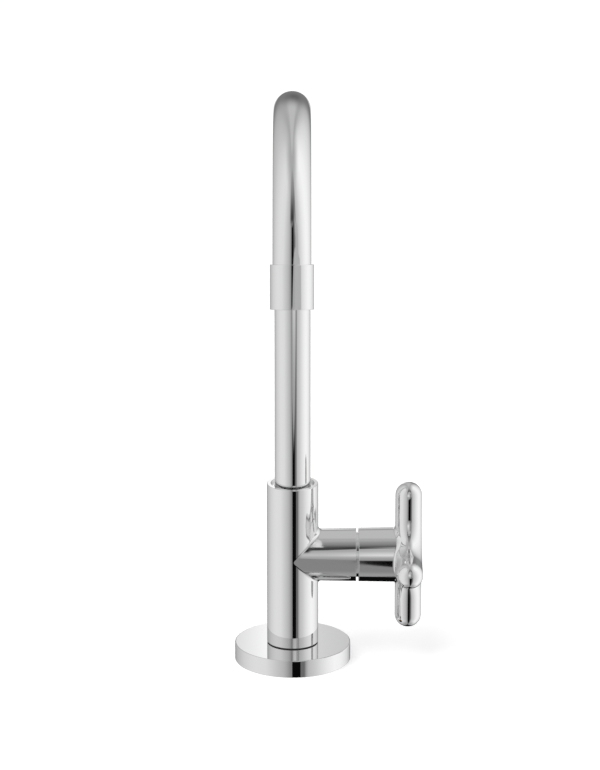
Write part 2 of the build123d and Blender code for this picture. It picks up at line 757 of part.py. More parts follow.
# Outlet sleeve: over the tube's end, threaded inside for the aerator
aerator_bore_r = aerator_bore_d / 2
with BuildPart() as outlet_sleeve:
    with BuildSketch(outlet_plane):
        Circle(outlet_sleeve_d / 2)
    extrude(amount=outlet_sleeve_l)
    fillet(outlet_sleeve.edges(), outlet_sleeve_edge_r)
    with BuildSketch(outlet_plane):
        Circle(tube_d / 2 + screwed_gap)
    extrude(amount=tube_in_sleeve_l, mode=Mode.SUBTRACT)
    with BuildSketch(outlet_plane.offset(tube_in_sleeve_l)):
        Circle(aerator_bore_r)
    extrude(amount=outlet_sleeve_l - tube_in_sleeve_l, mode=Mode.SUBTRACT)
outlet_sleeve.part.label = "outlet_sleeve"
export_step(outlet_sleeve.part, "parts/outlet_sleeve.step")

# Aerator washer: rubber ring between the tube's end and the aerator
with BuildPart() as aerator_washer:
    with BuildSketch(outlet_plane.offset(tube_in_sleeve_l)):
        Circle(aerator_bore_r - screwed_gap)
        Circle(tube_d / 2 - tube_wall, mode=Mode.SUBTRACT)
    extrude(amount=aerator_washer_t)
aerator_washer.part.label = "aerator_washer"
export_step(aerator_washer.part, "parts/aerator_washer.step")

# Aerator housing: screwed ring with an inner lip and key slots in its lower edge
aerator_start = tube_in_sleeve_l + aerator_washer_t
aerator_end = aerator_start + aerator_l
aerator_inner_r = aerator_bore_r - screwed_gap - aerator_wall
aerator_key_r = aerator_inner_r + aerator_key_depth
with BuildPart() as aerator_housing:
    with BuildSketch(outlet_plane.offset(aerator_start)):
        Circle(aerator_bore_r - screwed_gap)
        Circle(aerator_inner_r, mode=Mode.SUBTRACT)
    extrude(amount=aerator_l)
    with BuildSketch(outlet_plane.offset(aerator_end - 2 * aerator_lip_t)):
        Circle(aerator_inner_r)
        Circle(aerator_inner_r - aerator_lip_w, mode=Mode.SUBTRACT)
    extrude(amount=aerator_lip_t)
    with BuildSketch(outlet_plane.offset(aerator_end)):
        with PolarLocations(aerator_bore_r, aerator_key_count):
            Rectangle(2 * aerator_key_r, aerator_key_w)
        Circle(aerator_key_r, mode=Mode.INTERSECT)
    extrude(amount=-aerator_lip_t, mode=Mode.SUBTRACT)
aerator_housing.part.label = "aerator_housing"
export_step(aerator_housing.part, "parts/aerator_housing.step")

# Aerator screen: fine square grid on the housing's lip
screen_start = aerator_end - 2 * aerator_lip_t - screen_t
screen_r = aerator_inner_r - screwed_gap
screen_field_r = aerator_inner_r - aerator_lip_w
screen_count = int(2 * screen_field_r / screen_pitch)
screen_hole_corner_r = screen_hole / sqrt(2)
with BuildPart() as aerator_screen:
    with BuildSketch(outlet_plane.offset(screen_start)):
        Circle(screen_r)
    extrude(amount=screen_t)
    with BuildSketch(outlet_plane.offset(screen_start)):
        grid = GridLocations(screen_pitch, screen_pitch, screen_count, screen_count)
        for hole in grid.local_locations:
            if hole.position.length + screen_hole_corner_r < screen_field_r:
                with Locations(hole):
                    Rectangle(screen_hole, screen_hole)
    extrude(amount=screen_t, mode=Mode.SUBTRACT)
aerator_screen.part.label = "aerator_screen"
export_step(aerator_screen.part, "parts/aerator_screen.step")

# Aerator insert: plastic flow former with two rings of jets
with BuildPart() as aerator_insert:
    with BuildSketch(outlet_plane.offset(screen_start - insert_disc_t)):
        Circle(aerator_inner_r - screwed_gap)
        for ring_r, ring_count in zip(insert_ring_r, insert_ring_count):
            with PolarLocations(ring_r, ring_count):
                Circle(insert_hole_d / 2, mode=Mode.SUBTRACT)
        Circle(insert_hole_d / 2, mode=Mode.SUBTRACT)
    extrude(amount=insert_disc_t)
aerator_insert.part.label = "aerator_insert"
export_step(aerator_insert.part, "parts/aerator_insert.step")
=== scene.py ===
"""Looks of the cross-handle basin tap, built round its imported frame.

Sizes are worked out in millimetres and written to the meshes in metres, in the frame of the CAD:
+Z up, the spout along -Y, the valve branch and the cross handle along +X, the deck at z = 0.
"""
import json
from math import asin, atan2, cos, pi, radians, sin, tan

import bpy
import numpy as np
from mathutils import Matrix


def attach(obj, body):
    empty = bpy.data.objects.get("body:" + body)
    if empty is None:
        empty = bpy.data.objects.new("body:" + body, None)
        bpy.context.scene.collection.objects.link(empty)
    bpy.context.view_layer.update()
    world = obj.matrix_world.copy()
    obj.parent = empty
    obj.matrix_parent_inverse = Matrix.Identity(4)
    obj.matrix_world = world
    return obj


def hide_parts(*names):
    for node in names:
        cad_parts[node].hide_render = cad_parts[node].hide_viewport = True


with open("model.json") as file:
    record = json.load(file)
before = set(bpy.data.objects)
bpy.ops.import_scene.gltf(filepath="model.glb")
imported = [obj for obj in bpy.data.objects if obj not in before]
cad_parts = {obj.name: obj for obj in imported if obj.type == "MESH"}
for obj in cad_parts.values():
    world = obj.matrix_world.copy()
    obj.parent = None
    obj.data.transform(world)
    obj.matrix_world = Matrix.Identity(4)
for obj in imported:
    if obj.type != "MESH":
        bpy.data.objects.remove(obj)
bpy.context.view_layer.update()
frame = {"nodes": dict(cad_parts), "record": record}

METRE = 0.001

# Sizes that the pieces share, in millimetres
FLANGE_R = 29.4
FLANGE_T = 9.0
FLANGE_HOLE_R = 12.2
RECESS_IN_R = 20.0
RECESS_OUT_R = 26.0
RECESS_DEPTH = 2.0
BODY_R = 13.0
BODY_TOP = 94.0
BARREL_FOOT = 9.5
BARREL_FOOT_ROUND = 0.08
BARREL_BAND = 76.0
SEAL_SEAT_R = 12.0
SOCKET_R = 10.9
SOCKET_FLOOR = 70.0
LOCK_SCREW_Z = 85.0
SHANK_SEAT_R = 9.03
SHANK_SEAT_TOP = 19.5
INLET_R = 7.0
INLET_TOP = 26.0
VALVE_Z = 55.7
CHAMBER_R = 9.7
CHAMBER_END = 16.0
HOUSING_R = 10.48
HOUSING_END = 28.0
COLLAR_SEAT_R = 11.5
GUIDE_IN_R = 9.05
GUIDE_OUT_R = 10.89
GUIDE_LOW = 88.9
GUIDE_HIGH = 92.6
BRANCH_END = 32.2
BRANCH_ROOT_R = 12.98
BRANCH_END_R = 13.5
BRANCH_EDGE = 0.2
BRANCH_FILLET = 2.0
SLEEVE_START = 31.0
SLEEVE_END = 39.0
SLEEVE_BORE_R = 9.6
SLEEVE_R = 11.42
SLEEVE_NEAR_R = 11.36
SLEEVE_SEAT_R = 11.48
HUB_START = 33.45
HUB_END = 53.0
HUB_START_R = 13.56
HUB_END_R = 13.85
HUB_FLARE = atan2(HUB_END_R - HUB_START_R, HUB_END - HUB_START)
HUB_EDGE = 0.25
HUB_NOSE_R = 2.5
HUB_FILLET = 1.2
HUB_BORE_R = 11.47
HUB_BORE_FLOOR = 44.0
HUB_SIDE_END = 50.5
GRUB_SCREW_X = 47.0
GRUB_HOLE_DEPTH = 8.0
CROSS_X = 58.7
ARM_R = 6.7
ARM_HALF_SPAN = 38.5
ARM_ROUND = 6.6
ARM_WEB_R = 15.0
TUBE_R = 9.0
TUBE_BORE_R = 8.0
ARCH_R = 72.6
ARCH_Z = 230.2
PIPE_FOOT = 80.5
PIPE_TAIL = 8.4
OUTLET_TILT = radians(14.4)
COLLAR_R = 10.2
COLLAR_BORE_R = 9.25
COLLAR_LENGTH = 20.9
JET_R = 9.225
JET_WALL_R = 7.725
JET_KEY_R = 8.225
JET_LIP_R = 6.925
JET_START = 9.5
JET_LIP_START = 18.3
JET_LIP_END = 19.1
JET_END = 19.9
JET_SLOT_HALF = 1.2
JET_SLOT_R = 8.0
SCREW_HOLE_R = 2.025
SCREW_WINDOW = radians(16)
LOCK_HOLE_DEPTH = 1.7
HOLE_FLARE = 1.08
HOLE_RIM_DEPTHS = (0, 0.04, 0.16)
HOLE_RIM_WIDTHS = (HOLE_FLARE, 1.02, 1.0, 1.0)
HOLE_RIM_LEANS = (1.0, 0.7, 0.0, 0.0)
SHANK_R = 10.4775
SHANK_BORE_R = 6.0
SHANK_FOOT = -57.6
SHANK_CHAMFER = 0.8
SHANK_THREAD_TOP = 0.4
SHANK_SHOULDER = 0.6
SHANK_NECK_R = 9.0
SHANK_TOP = 18.0
RELIEF_R = 9.4
RELIEF_LOW = -44.6
RELIEF_HIGH = -43.0
THREAD_PITCH = 1.814
THREAD_DEPTH = 1.1
THREAD_RUN_OUT_TOP = -1.5
THREAD_RUN_OUT = 3.0
THREAD_LEAD_IN = 0.6
DECK_UNDERSIDE = -30.0
WASHER_SEAM = -33.0
WASHER_R = 22.0
WASHER_BORE_R = 10.68
NUT_TOP = -35.0
NUT_HALF_FLATS = 15.0
NUT_T = 8.0
NUT_CHAMFER = 1.2
X_AXIS, Y_AXIS, Z_AXIS = np.eye(3)


# Surfaces as grids of points

def unit(v):
    """Every vector of an array divided by its own length."""
    return v / np.maximum(np.linalg.norm(v, axis=-1, keepdims=True), 1e-12)


def profile(corners, closed=False, steps=6):
    """Outline through corners (a, b, rounding) as points and right-hand normals.

    Each corner becomes a circular arc of its rounding, tangent to both runs beside it; the
    runs between the arcs stay straight. The solid lies to the left of the way travelled.
    """
    p = np.array([c[:2] for c in corners], float)
    radius = np.array([c[2] if len(c) > 2 else 0.0 for c in corners])
    count = len(p)
    points, normals = [], []
    for i in range(count):
        last = not closed and i in (0, count - 1)
        before = unit(p[i] - p[i - 1]) if closed or i > 0 else None
        after = unit(p[(i + 1) % count] - p[i]) if closed or i < count - 1 else None
        if last:
            way = after if before is None else before
            points.append(p[i][None])
            normals.append(np.array([[way[1], -way[0]]]))
            continue
        turn = atan2(before[0] * after[1] - before[1] * after[0], before @ after)
        if radius[i] == 0 or abs(turn) < 1e-6:
            for way in (before, after):
                points.append(p[i][None])
                normals.append(np.array([[way[1], -way[0]]]))
            continue
        cut = radius[i] * tan(abs(turn) / 2)
        side = np.array([-before[1], before[0]]) * np.sign(turn)
        centre = p[i] - before * cut + side * radius[i]
        share = np.linspace(0, turn, steps + 1)[:, None]
        spoke = -side * np.cos(share) + np.array([side[1], -side[0]]) * np.sin(share)
        points.append(centre + radius[i] * spoke)
        normals.append(spoke * np.sign(turn))
    points, normals = np.concatenate(points), np.concatenate(normals)
    if closed:
        points = np.concatenate([points, points[:1]])
        normals = np.concatenate([normals, normals[:1]])
    return points, normals


def circle(columns):
    """Angles of a full turn, the last one equal to the first."""
    return np.linspace(0, 2 * pi, columns + 1)


def lathe(outline, angles, origin=(0, 0, 0), axis=Z_AXIS, start=X_AXIS):
    """Surface of revolution: origin + height * axis + radius * (cos * start + sin * side).

    The outline gives (radius, height) pairs and their normals; side is axis x start.
    """
    points, normals = outline
    side = np.cross(axis, start)
    spoke = np.cos(angles)[:, None] * start + np.sin(angles)[:, None] * side
    place = np.array(origin) + points[:, 1, None, None] * axis + points[:, 0, None, None] * spoke
    facing = normals[:, 1, None, None] * axis + normals[:, 0, None, None] * spoke
    return place, facing


def piece(name, patches, material, slot, body, *nodes, creased=False):
    """One mesh of several grids: equal points are joined, faces point along the normals.

    A creased piece gets its shading from its own faces, with edges over 30 degrees sharp.
    """
    points, normals, quads = [], [], []
    offset = 0
    for place, facing in patches:
        rows, columns = place.shape[:2]
        index = offset + np.arange(rows * columns).reshape(rows, columns)
        quads.append(np.stack(
            [index[:-1, :-1], index[:-1, 1:], index[1:, 1:], index[1:, :-1]], -1).reshape(-1, 4))
        points.append(place.reshape(-1, 3))
        normals.append(facing.reshape(-1, 3))
        offset += rows * columns
    points, normals, quads = map(np.concatenate, (points, normals, quads))
    _, first, joined = np.unique(
        np.round(points * 2e4).astype(np.int64), axis=0, return_index=True, return_inverse=True)
    joined = joined.reshape(-1)
    corner_normals = normals[quads]
    quads = joined[quads]
    points = points[first]
    across = np.cross(
        points[quads[:, 2]] - points[quads[:, 0]], points[quads[:, 3]] - points[quads[:, 1]])
    flip = np.einsum("ij,ij->i", across, corner_normals.sum(1)) < 0
    quads[flip] = quads[flip][:, ::-1]
    corner_normals[flip] = corner_normals[flip][:, ::-1]
    same = quads == np.roll(quads, -1, axis=1)
    keep = np.linalg.norm(across, axis=1) > 1e-12
    whole = keep & ~same.any(1)
    pinched = keep & (same.sum(1) == 1)
    stay = ~same[pinched]
    loops = np.concatenate([quads[whole].ravel(), quads[pinched][stay]])
    loop_normals = np.concatenate(
        [corner_normals[whole].reshape(-1, 3), corner_normals[pinched][stay]])
    sizes = np.concatenate([np.full(whole.sum(), 4), np.full(pinched.sum(), 3)])
    used, loops = np.unique(loops, return_inverse=True)
    mesh = bpy.data.meshes.new(name)
    mesh.vertices.add(len(used))
    mesh.vertices.foreach_set("co", (points[used] * METRE).astype(np.float32).ravel())
    mesh.loops.add(len(loops))
    mesh.loops.foreach_set("vertex_index", loops.reshape(-1).astype(np.int32))
    mesh.polygons.add(len(sizes))
    starts = np.concatenate([[0], np.cumsum(sizes)[:-1]])
    mesh.polygons.foreach_set("loop_start", starts.astype(np.int32))
    mesh.update(calc_edges=True)
    mesh.polygons.foreach_set("use_smooth", np.ones(len(sizes), bool))
    if creased:
        mesh.set_sharp_from_angle(angle=radians(30))
    else:
        mesh.normals_split_custom_set(unit(loop_normals))
    made = bpy.data.objects.new(name, mesh)
    bpy.context.scene.collection.objects.link(made)
    mesh.materials.append(material)
    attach(made, body)
    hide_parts(*nodes)


def bent(angles, z_from, z_to, radius, shares):
    """Cylinder round Z between two edge curves: z = z_from + share * (z_to - z_from)."""
    z = z_from + shares[:, None] * (z_to - z_from)
    spoke = np.stack([np.cos(angles), np.sin(angles), np.zeros_like(angles)], -1)
    facing = np.broadcast_to(spoke, z.shape + (3,))
    return facing * radius + z[..., None] * Z_AXIS, facing


def border(across, along):
    """Edge of a rectangular window of grid lines, once round, as two parameter arrays."""
    low, high = np.full_like(across, along[0]), np.full_like(across, along[-1])
    left, right = np.full_like(along, across[0]), np.full_like(along, across[-1])
    u = np.concatenate([across[:-1], right[:-1], across[:0:-1], left[::-1]])
    v = np.concatenate([low[:-1], along[:-1], high[:0:-1], along[::-1]])
    return u, v


def around_window(window, levels, rows):
    """Columns and levels of the four rectangles that surround a window in a grid."""
    middle = slice(window[0], window[-1] + 1)
    return [
        (slice(0, window[0] + 1), levels), (slice(window[-1], None), levels),
        (middle, levels[:rows.start + 1]), (middle, levels[rows.stop - 1:])]


# Materials

class Sock:
    """A shader socket that takes part in Python arithmetic."""

    def __init__(self, paint, socket):
        self.paint = paint
        self.socket = socket

    def _math(self, operation, *values):
        return self.paint.node("ShaderNodeMath", {"operation": operation}, *values)

    def __add__(self, other):
        return self._math("ADD", self, other)

    __radd__ = __add__

    def __sub__(self, other):
        return self._math("SUBTRACT", self, other)

    def __rsub__(self, other):
        return self._math("SUBTRACT", other, self)

    def __mul__(self, other):
        return self._math("MULTIPLY", self, other)

    __rmul__ = __mul__

    def step(self, start, end):
        """0 before start, 1 after end, smooth between."""
        return self.paint.node(
            "ShaderNodeMapRange", {"interpolation_type": "SMOOTHSTEP"}, self, start, end, 0.0, 1.0)


class Paint:
    """Node tree of one material or of the world."""

    def __init__(self, owner):
        owner.use_nodes = True
        self.tree = owner.node_tree
        self.tree.nodes.clear()

    def node(self, kind, settings, *values, output=0, **named):
        """A node of one kind: settings first, then its sockets by place or by name."""
        made = self.tree.nodes.new(kind)
        for key, value in settings.items():
            if key == "stops":
                ramp = made.color_ramp.elements
                while len(ramp) < len(value):
                    ramp.new(0.5)
                for element, (position, grey) in zip(ramp, value):
                    element.position = position
                    element.color = (grey, grey, grey, 1)
            else:
                setattr(made, key, value)
        for place, value in list(enumerate(values)) + list(named.items()):
            key = place if isinstance(place, int) else place.replace("_", " ")
            if isinstance(value, Sock):
                self.tree.links.new(value.socket, made.inputs[key])
            elif value is not None:
                made.inputs[key].default_value = value
        return Sock(self, made.outputs[output]) if made.outputs else made

    def split(self, vector):
        """The three parts of a vector."""
        parts = self.node("ShaderNodeSeparateXYZ", {}, vector).socket.node
        return [Sock(self, socket) for socket in parts.outputs]


def finish_of(name, colour, metallic, roughness, spread, grain, bump):
    """Material with a fine procedural grain: roughness and bump follow two noises."""
    material = bpy.data.materials.new(name)
    paint = Paint(material)
    place = paint.node("ShaderNodeTexCoord", {}, output="Object")
    cloud = paint.node("ShaderNodeTexNoise", {}, Vector=place, Scale=grain / 6, Detail=3.0)
    fine = paint.node("ShaderNodeTexNoise", {}, Vector=place, Scale=grain, Detail=2.0)
    rough = cloud * (2 * spread) + (roughness - spread)
    relief = paint.node("ShaderNodeBump", {}, Strength=bump, Distance=0.0001, Height=fine)
    shade = paint.node(
        "ShaderNodeBsdfPrincipled", {}, Base_Color=(*colour, 1), Metallic=metallic,
        Roughness=rough, Normal=relief)
    paint.node("ShaderNodeOutputMaterial", {}, shade)
    return material


chrome = finish_of("polished_chrome", (0.77, 0.77, 0.772), 1.0, 0.03, 0.012, 900, 0.002)
brass = finish_of("turned_brass", (0.72, 0.50, 0.22), 1.0, 0.28, 0.06, 1500, 0.10)
steel = finish_of("zinc_steel", (0.58, 0.59, 0.60), 1.0, 0.30, 0.06, 1500, 0.10)
rubber = finish_of("black_rubber", (0.030, 0.030, 0.032), 0.0, 0.62, 0.08, 2600, 0.35)
ring_plastic = finish_of("white_plastic", (0.74, 0.74, 0.72), 0.0, 0.42, 0.05, 1800, 0.08)
jet_plastic = finish_of("grey_plastic", (0.55, 0.56, 0.57), 0.0, 0.40, 0.05, 1800, 0.08)
ceramic = finish_of("fired_ceramic", (0.85, 0.84, 0.81), 0.0, 0.30, 0.05, 1200, 0.04)

slot_finish = {
    "chrome": chrome, "brass": brass, "rubber": rubber, "ring_plastic": ring_plastic,
    "jet_plastic": jet_plastic, "ceramic": ceramic, "steel": steel,
}
for row in frame["record"]["subparts"]:
    node_mesh = frame["nodes"][row["node"]].data
    node_mesh.materials.clear()
    node_mesh.materials.append(slot_finish[row["material_slot"]])


# Pieces that stay with the deck

ROUND = circle(128)

# Base flange: a closed ring outline with a rounded upper edge and the gasket's recess below
piece("flange", [lathe(profile([
    (FLANGE_HOLE_R, 0, 0.1), (RECESS_IN_R, 0, 0.05), (RECESS_IN_R, RECESS_DEPTH, 0.05),
    (RECESS_OUT_R, RECESS_DEPTH, 0.05), (RECESS_OUT_R, 0, 0.05), (FLANGE_R, 0, 0.15),
    (FLANGE_R, FLANGE_T, 0.5), (FLANGE_HOLE_R, FLANGE_T, 0.1)], closed=True),
    circle(192))], chrome, "chrome", "base", "base_flange")

piece("gasket", [lathe(profile([
    (RECESS_IN_R + 0.03, 0.01, 0.15), (RECESS_OUT_R - 0.03, 0.01, 0.15),
    (RECESS_OUT_R - 0.03, RECESS_DEPTH - 0.05, 0.1),
    (RECESS_IN_R + 0.03, RECESS_DEPTH - 0.05, 0.1)],
    closed=True), ROUND)], rubber, "rubber", "base", "deck_gasket")

piece("under_washer_rubber", [lathe(profile([
    (WASHER_BORE_R, WASHER_SEAM, 0.3), (WASHER_R, WASHER_SEAM, 0.3),
    (WASHER_R, DECK_UNDERSIDE, 0.3), (WASHER_BORE_R, DECK_UNDERSIDE, 0.3)], closed=True),
    ROUND)], rubber, "rubber", "base", "rubber_washer")

piece("under_washer_steel", [lathe(profile([
    (WASHER_BORE_R, NUT_TOP, 0.15), (WASHER_R, NUT_TOP, 0.25),
    (WASHER_R, WASHER_SEAM, 0.25), (WASHER_BORE_R, WASHER_SEAM, 0.15)], closed=True),
    ROUND)], steel, "steel", "base", "steel_washer")


def thread_radius(z, turn):
    """Right-hand screw thread: the groove follows a rounded wave of z / pitch - turn / full turn.

    The groove runs out below the deck's seal and at the foot, which a cone cuts back.
    """
    wave = np.abs(2 * ((z / THREAD_PITCH - turn / (2 * pi)) % 1) - 1)
    share = np.clip((wave - 0.1) / 0.8, 0, 1)
    run_out = (np.clip((THREAD_RUN_OUT_TOP - z) / THREAD_RUN_OUT, 0, 1)
               * np.clip((z - SHANK_FOOT) / THREAD_LEAD_IN, 0, 1))
    groove = THREAD_DEPTH * share * share * (3 - 2 * share) * run_out
    return np.minimum(SHANK_R - groove, SHANK_R - SHANK_CHAMFER + z - SHANK_FOOT)


def thread_patch(low, high):
    """Threaded stretch of the shank, a grid of heights and turns, facing along its own slope."""
    heights = np.linspace(low, high, int((high - low) / THREAD_PITCH * 10) + 1)
    z, turn = np.meshgrid(heights, circle(96), indexing="ij")
    radius = thread_radius(z, turn)
    step = 1e-3
    along = (thread_radius(z + step, turn) - thread_radius(z - step, turn)) / (2 * step)
    around = (thread_radius(z, turn + step) - thread_radius(z, turn - step)) / (2 * step * radius)
    spoke = np.stack([np.cos(turn), np.sin(turn), 0 * turn], -1)
    beside = np.stack([-np.sin(turn), np.cos(turn), 0 * turn], -1)
    facing = unit(spoke - along[..., None] * Z_AXIS - around[..., None] * beside)
    return radius[..., None] * spoke + z[..., None] * Z_AXIS, facing


def shank_patches():
    """Hollow shank: supply thread, relief groove, fixing thread, plain neck and bore."""
    supply = thread_patch(SHANK_FOOT, RELIEF_LOW)
    fixing = thread_patch(RELIEF_HIGH, SHANK_THREAD_TOP)
    turns = circle(96)
    neck = lathe(profile([
        (SHANK_R, SHANK_THREAD_TOP), (SHANK_R, SHANK_SHOULDER, 0.05),
        (SHANK_NECK_R, SHANK_SHOULDER, 0.05), (SHANK_NECK_R, SHANK_TOP, 0.3),
        (SHANK_BORE_R, SHANK_TOP, 0.3), (SHANK_BORE_R, 0)]), turns)
    relief = lathe(profile([
        (SHANK_R, RELIEF_LOW), (RELIEF_R, RELIEF_LOW, 0.1), (RELIEF_R, RELIEF_HIGH, 0.1),
        (SHANK_R, RELIEF_HIGH)]), turns)
    relief[0][0], relief[0][-1] = supply[0][-1], fixing[0][0]
    foot = lathe(profile([
        (SHANK_BORE_R, 0), (SHANK_BORE_R, SHANK_FOOT, 0.3),
        (SHANK_R - SHANK_CHAMFER, SHANK_FOOT)]), turns)
    return [supply, relief, fixing, neck, foot]


piece("shank", shank_patches(), brass, "brass", "base", "threaded_shank")


def nut_patches():
    """Hexagon nut whose corners are cut back by a cone at both faces.

    At an angle t from a flat's middle the hexagon's radius is half-flats / cos t; where that
    passes the cone's own radius, the edge drops by half of what is over.
    """
    cone_r = NUT_HALF_FLATS / cos(pi / 6) - NUT_CHAMFER
    t = np.linspace(-pi / 6, pi / 6, 21)
    side_r = NUT_HALF_FLATS / np.cos(t)
    face_r = np.minimum(side_r, cone_r)
    drop = (side_r - face_r) / 2
    bore_r = SHANK_R + 0.025 + 0 * t
    top, foot = NUT_TOP + 0 * t, NUT_TOP - NUT_T + 0 * t
    patches = []
    for middle in pi / 6 + pi / 3 * np.arange(6):
        spoke = np.stack([np.cos(t + middle), np.sin(t + middle), 0 * t], -1)
        flat = np.array([cos(middle), sin(middle), 0]) + 0 * spoke
        up = Z_AXIS + 0 * spoke
        outline = [
            (bore_r, top, up), (face_r, top, spoke + 2 * up), (side_r, top - drop, flat),
            (side_r, foot + drop, spoke - 2 * up), (face_r, foot, -up), (bore_r, foot, -spoke),
            (bore_r, top, None)]
        for (r_from, z_from, way), (r_to, z_to, _) in zip(outline, outline[1:]):
            place = np.stack([r[:, None] * spoke + z[:, None] * Z_AXIS
                              for r, z in ((r_from, z_from), (r_to, z_to))])
            patches.append((place, unit(np.stack([way, way]))))
    return patches


piece("nut", nut_patches(), brass, "brass", "base", "backnut")


def branch_radius(x):
    """Straight taper of the valve branch, from its root at the body's axis to its end."""
    return BRANCH_ROOT_R + (BRANCH_END_R - BRANCH_ROOT_R) * x / BRANCH_END


def body_patches():
    """Upright barrel and tapered side branch, joined by the track of a rolling ball.

    The ball of the fillet's radius touches the barrel and the cone: its centre lies on a
    cylinder of barrel radius + ball round Z and on the cone pushed out by the ball, which
    gives one x for every angle turn round the branch. The touching points bound the barrel,
    the branch and the swept arc between them.
    """
    taper = (BRANCH_END_R - BRANCH_ROOT_R) / BRANCH_END
    slope = atan2(taper, 1)
    quarter = np.linspace(0, pi / 2, 33)
    turn = np.concatenate([quarter, pi - quarter[-2::-1]])
    turn = np.concatenate([turn, turn[1:] + pi])
    s, c = np.sin(turn), np.cos(turn)
    a = BRANCH_ROOT_R + BRANCH_FILLET / cos(slope)
    b = BODY_R + BRANCH_FILLET
    lead = 1 + (s * taper) ** 2
    half = s ** 2 * a * taper
    x = (-half + np.sqrt(half ** 2 - lead * (s ** 2 * a ** 2 - b ** 2))) / lead
    rho = a + taper * x
    centre = np.stack([x, rho * s, rho * c + VALVE_Z], -1)
    cone_normal = np.stack([np.full_like(s, -sin(slope)), cos(slope) * s, cos(slope) * c], -1)
    barrel_normal = np.stack([x, rho * s, 0 * x], -1) / b
    angle = np.arccos(np.clip(np.einsum("ij,ij->i", cone_normal, barrel_normal), -1, 1))
    share = np.linspace(0, 1, 13)[:, None, None]
    wide = angle[None, :, None]
    swept = (np.sin((1 - share) * wide) * cone_normal + np.sin(share * wide) * barrel_normal)
    swept = swept / np.sin(wide)
    fillet = centre - BRANCH_FILLET * swept, swept
    # the branch, from its rounded end to the fillet
    x_start = BRANCH_END - BRANCH_EDGE
    x_touch = x + BRANCH_FILLET * sin(slope)
    run = np.linspace(0, 1, 9)[:, None]
    xs = x_start + run * (x_touch - BRANCH_END + BRANCH_EDGE)
    spoke = np.stack([0 * s, s, c], -1)
    tube = (xs[..., None] * X_AXIS + branch_radius(xs)[..., None] * spoke + VALVE_Z * Z_AXIS,
            np.broadcast_to(cone_normal, xs.shape + (3,)))
    inner = profile([
        (0, 0), (CHAMBER_R, 0, 0.1), (CHAMBER_R, CHAMBER_END, 0.1), (HOUSING_R, CHAMBER_END, 0.1),
        (HOUSING_R, HOUSING_END, 0.1), (COLLAR_SEAT_R, HOUSING_END, 0.1),
        (COLLAR_SEAT_R, BRANCH_END, 0.15), (BRANCH_END_R, BRANCH_END, BRANCH_EDGE),
        (branch_radius(x_start), x_start)])
    inner = inner[0][:-1], -inner[1][:-1]
    mouth = lathe(inner, turn, (0, 0, VALVE_Z), X_AXIS, Z_AXIS)
    mouth = mouth[0] * [1, -1, 1], mouth[1] * [1, -1, 1]
    # the barrel round the branch: columns at the angles where the ball touches it
    half_turn = slice(0, 33)
    theta_side = np.arctan2(centre[half_turn, 1], centre[half_turn, 0])
    z_side = centre[half_turn, 2] - VALVE_Z
    back = np.linspace(theta_side[-1], 2 * pi - theta_side[-1], 65)
    theta = np.concatenate([-theta_side[::-1], theta_side[1:], back[1:]])
    reach = np.concatenate([z_side[::-1], z_side[1:], 0 * back[1:]])
    shares = np.linspace(0, 1, 5)
    upper = bent(theta, VALVE_Z + reach, np.full_like(reach, BARREL_BAND), BODY_R, shares)
    foot_z = BARREL_FOOT + BARREL_FOOT_ROUND
    lower = bent(theta, VALVE_Z - reach, np.full_like(reach, foot_z), BODY_R, shares)
    rim = lathe(profile([
        (BODY_R, BODY_TOP - 1), (BODY_R, BODY_TOP, 0.3), (SOCKET_R, BODY_TOP, 0.25),
        (SOCKET_R, SOCKET_FLOOR, 0.2), (0, SOCKET_FLOOR)]), theta)
    foot = lathe(profile([
        (0, INLET_TOP), (INLET_R, INLET_TOP, 0.1), (INLET_R, SHANK_SEAT_TOP, 0.1),
        (SHANK_SEAT_R, SHANK_SEAT_TOP, 0.1), (SHANK_SEAT_R, SHANK_SHOULDER, 0.1),
        (SEAL_SEAT_R, SHANK_SHOULDER, 0.3), (SEAL_SEAT_R, BARREL_FOOT, 0.05),
        (BODY_R, BARREL_FOOT, BARREL_FOOT_ROUND), (BODY_R, foot_z)]), theta)
    # the band above the branch, with a window round the lock screw's hole
    z_rows = np.array([
        BARREL_BAND, 80.0, 81.6, 82.7, 83.8, LOCK_SCREW_Z, 86.2, 87.3, 88.4, 91.0, BODY_TOP - 1])
    window = np.flatnonzero(np.abs(theta - pi / 2) < SCREW_WINDOW)
    rows = slice(2, 9)
    patches = [fillet, tube, mouth, upper, lower, rim, foot]
    for columns, levels in around_window(window, z_rows, rows):
        share_rows = (levels - levels[0]) / (levels[-1] - levels[0])
        angles = theta[columns]
        flat = np.zeros_like(angles)
        patches.append(bent(angles, flat + levels[0], flat + levels[-1], BODY_R, share_rows))
    u, v = border(theta[window], z_rows[rows])
    patches += barrel_hole(u, v, pi / 2, LOCK_SCREW_Z)
    return patches


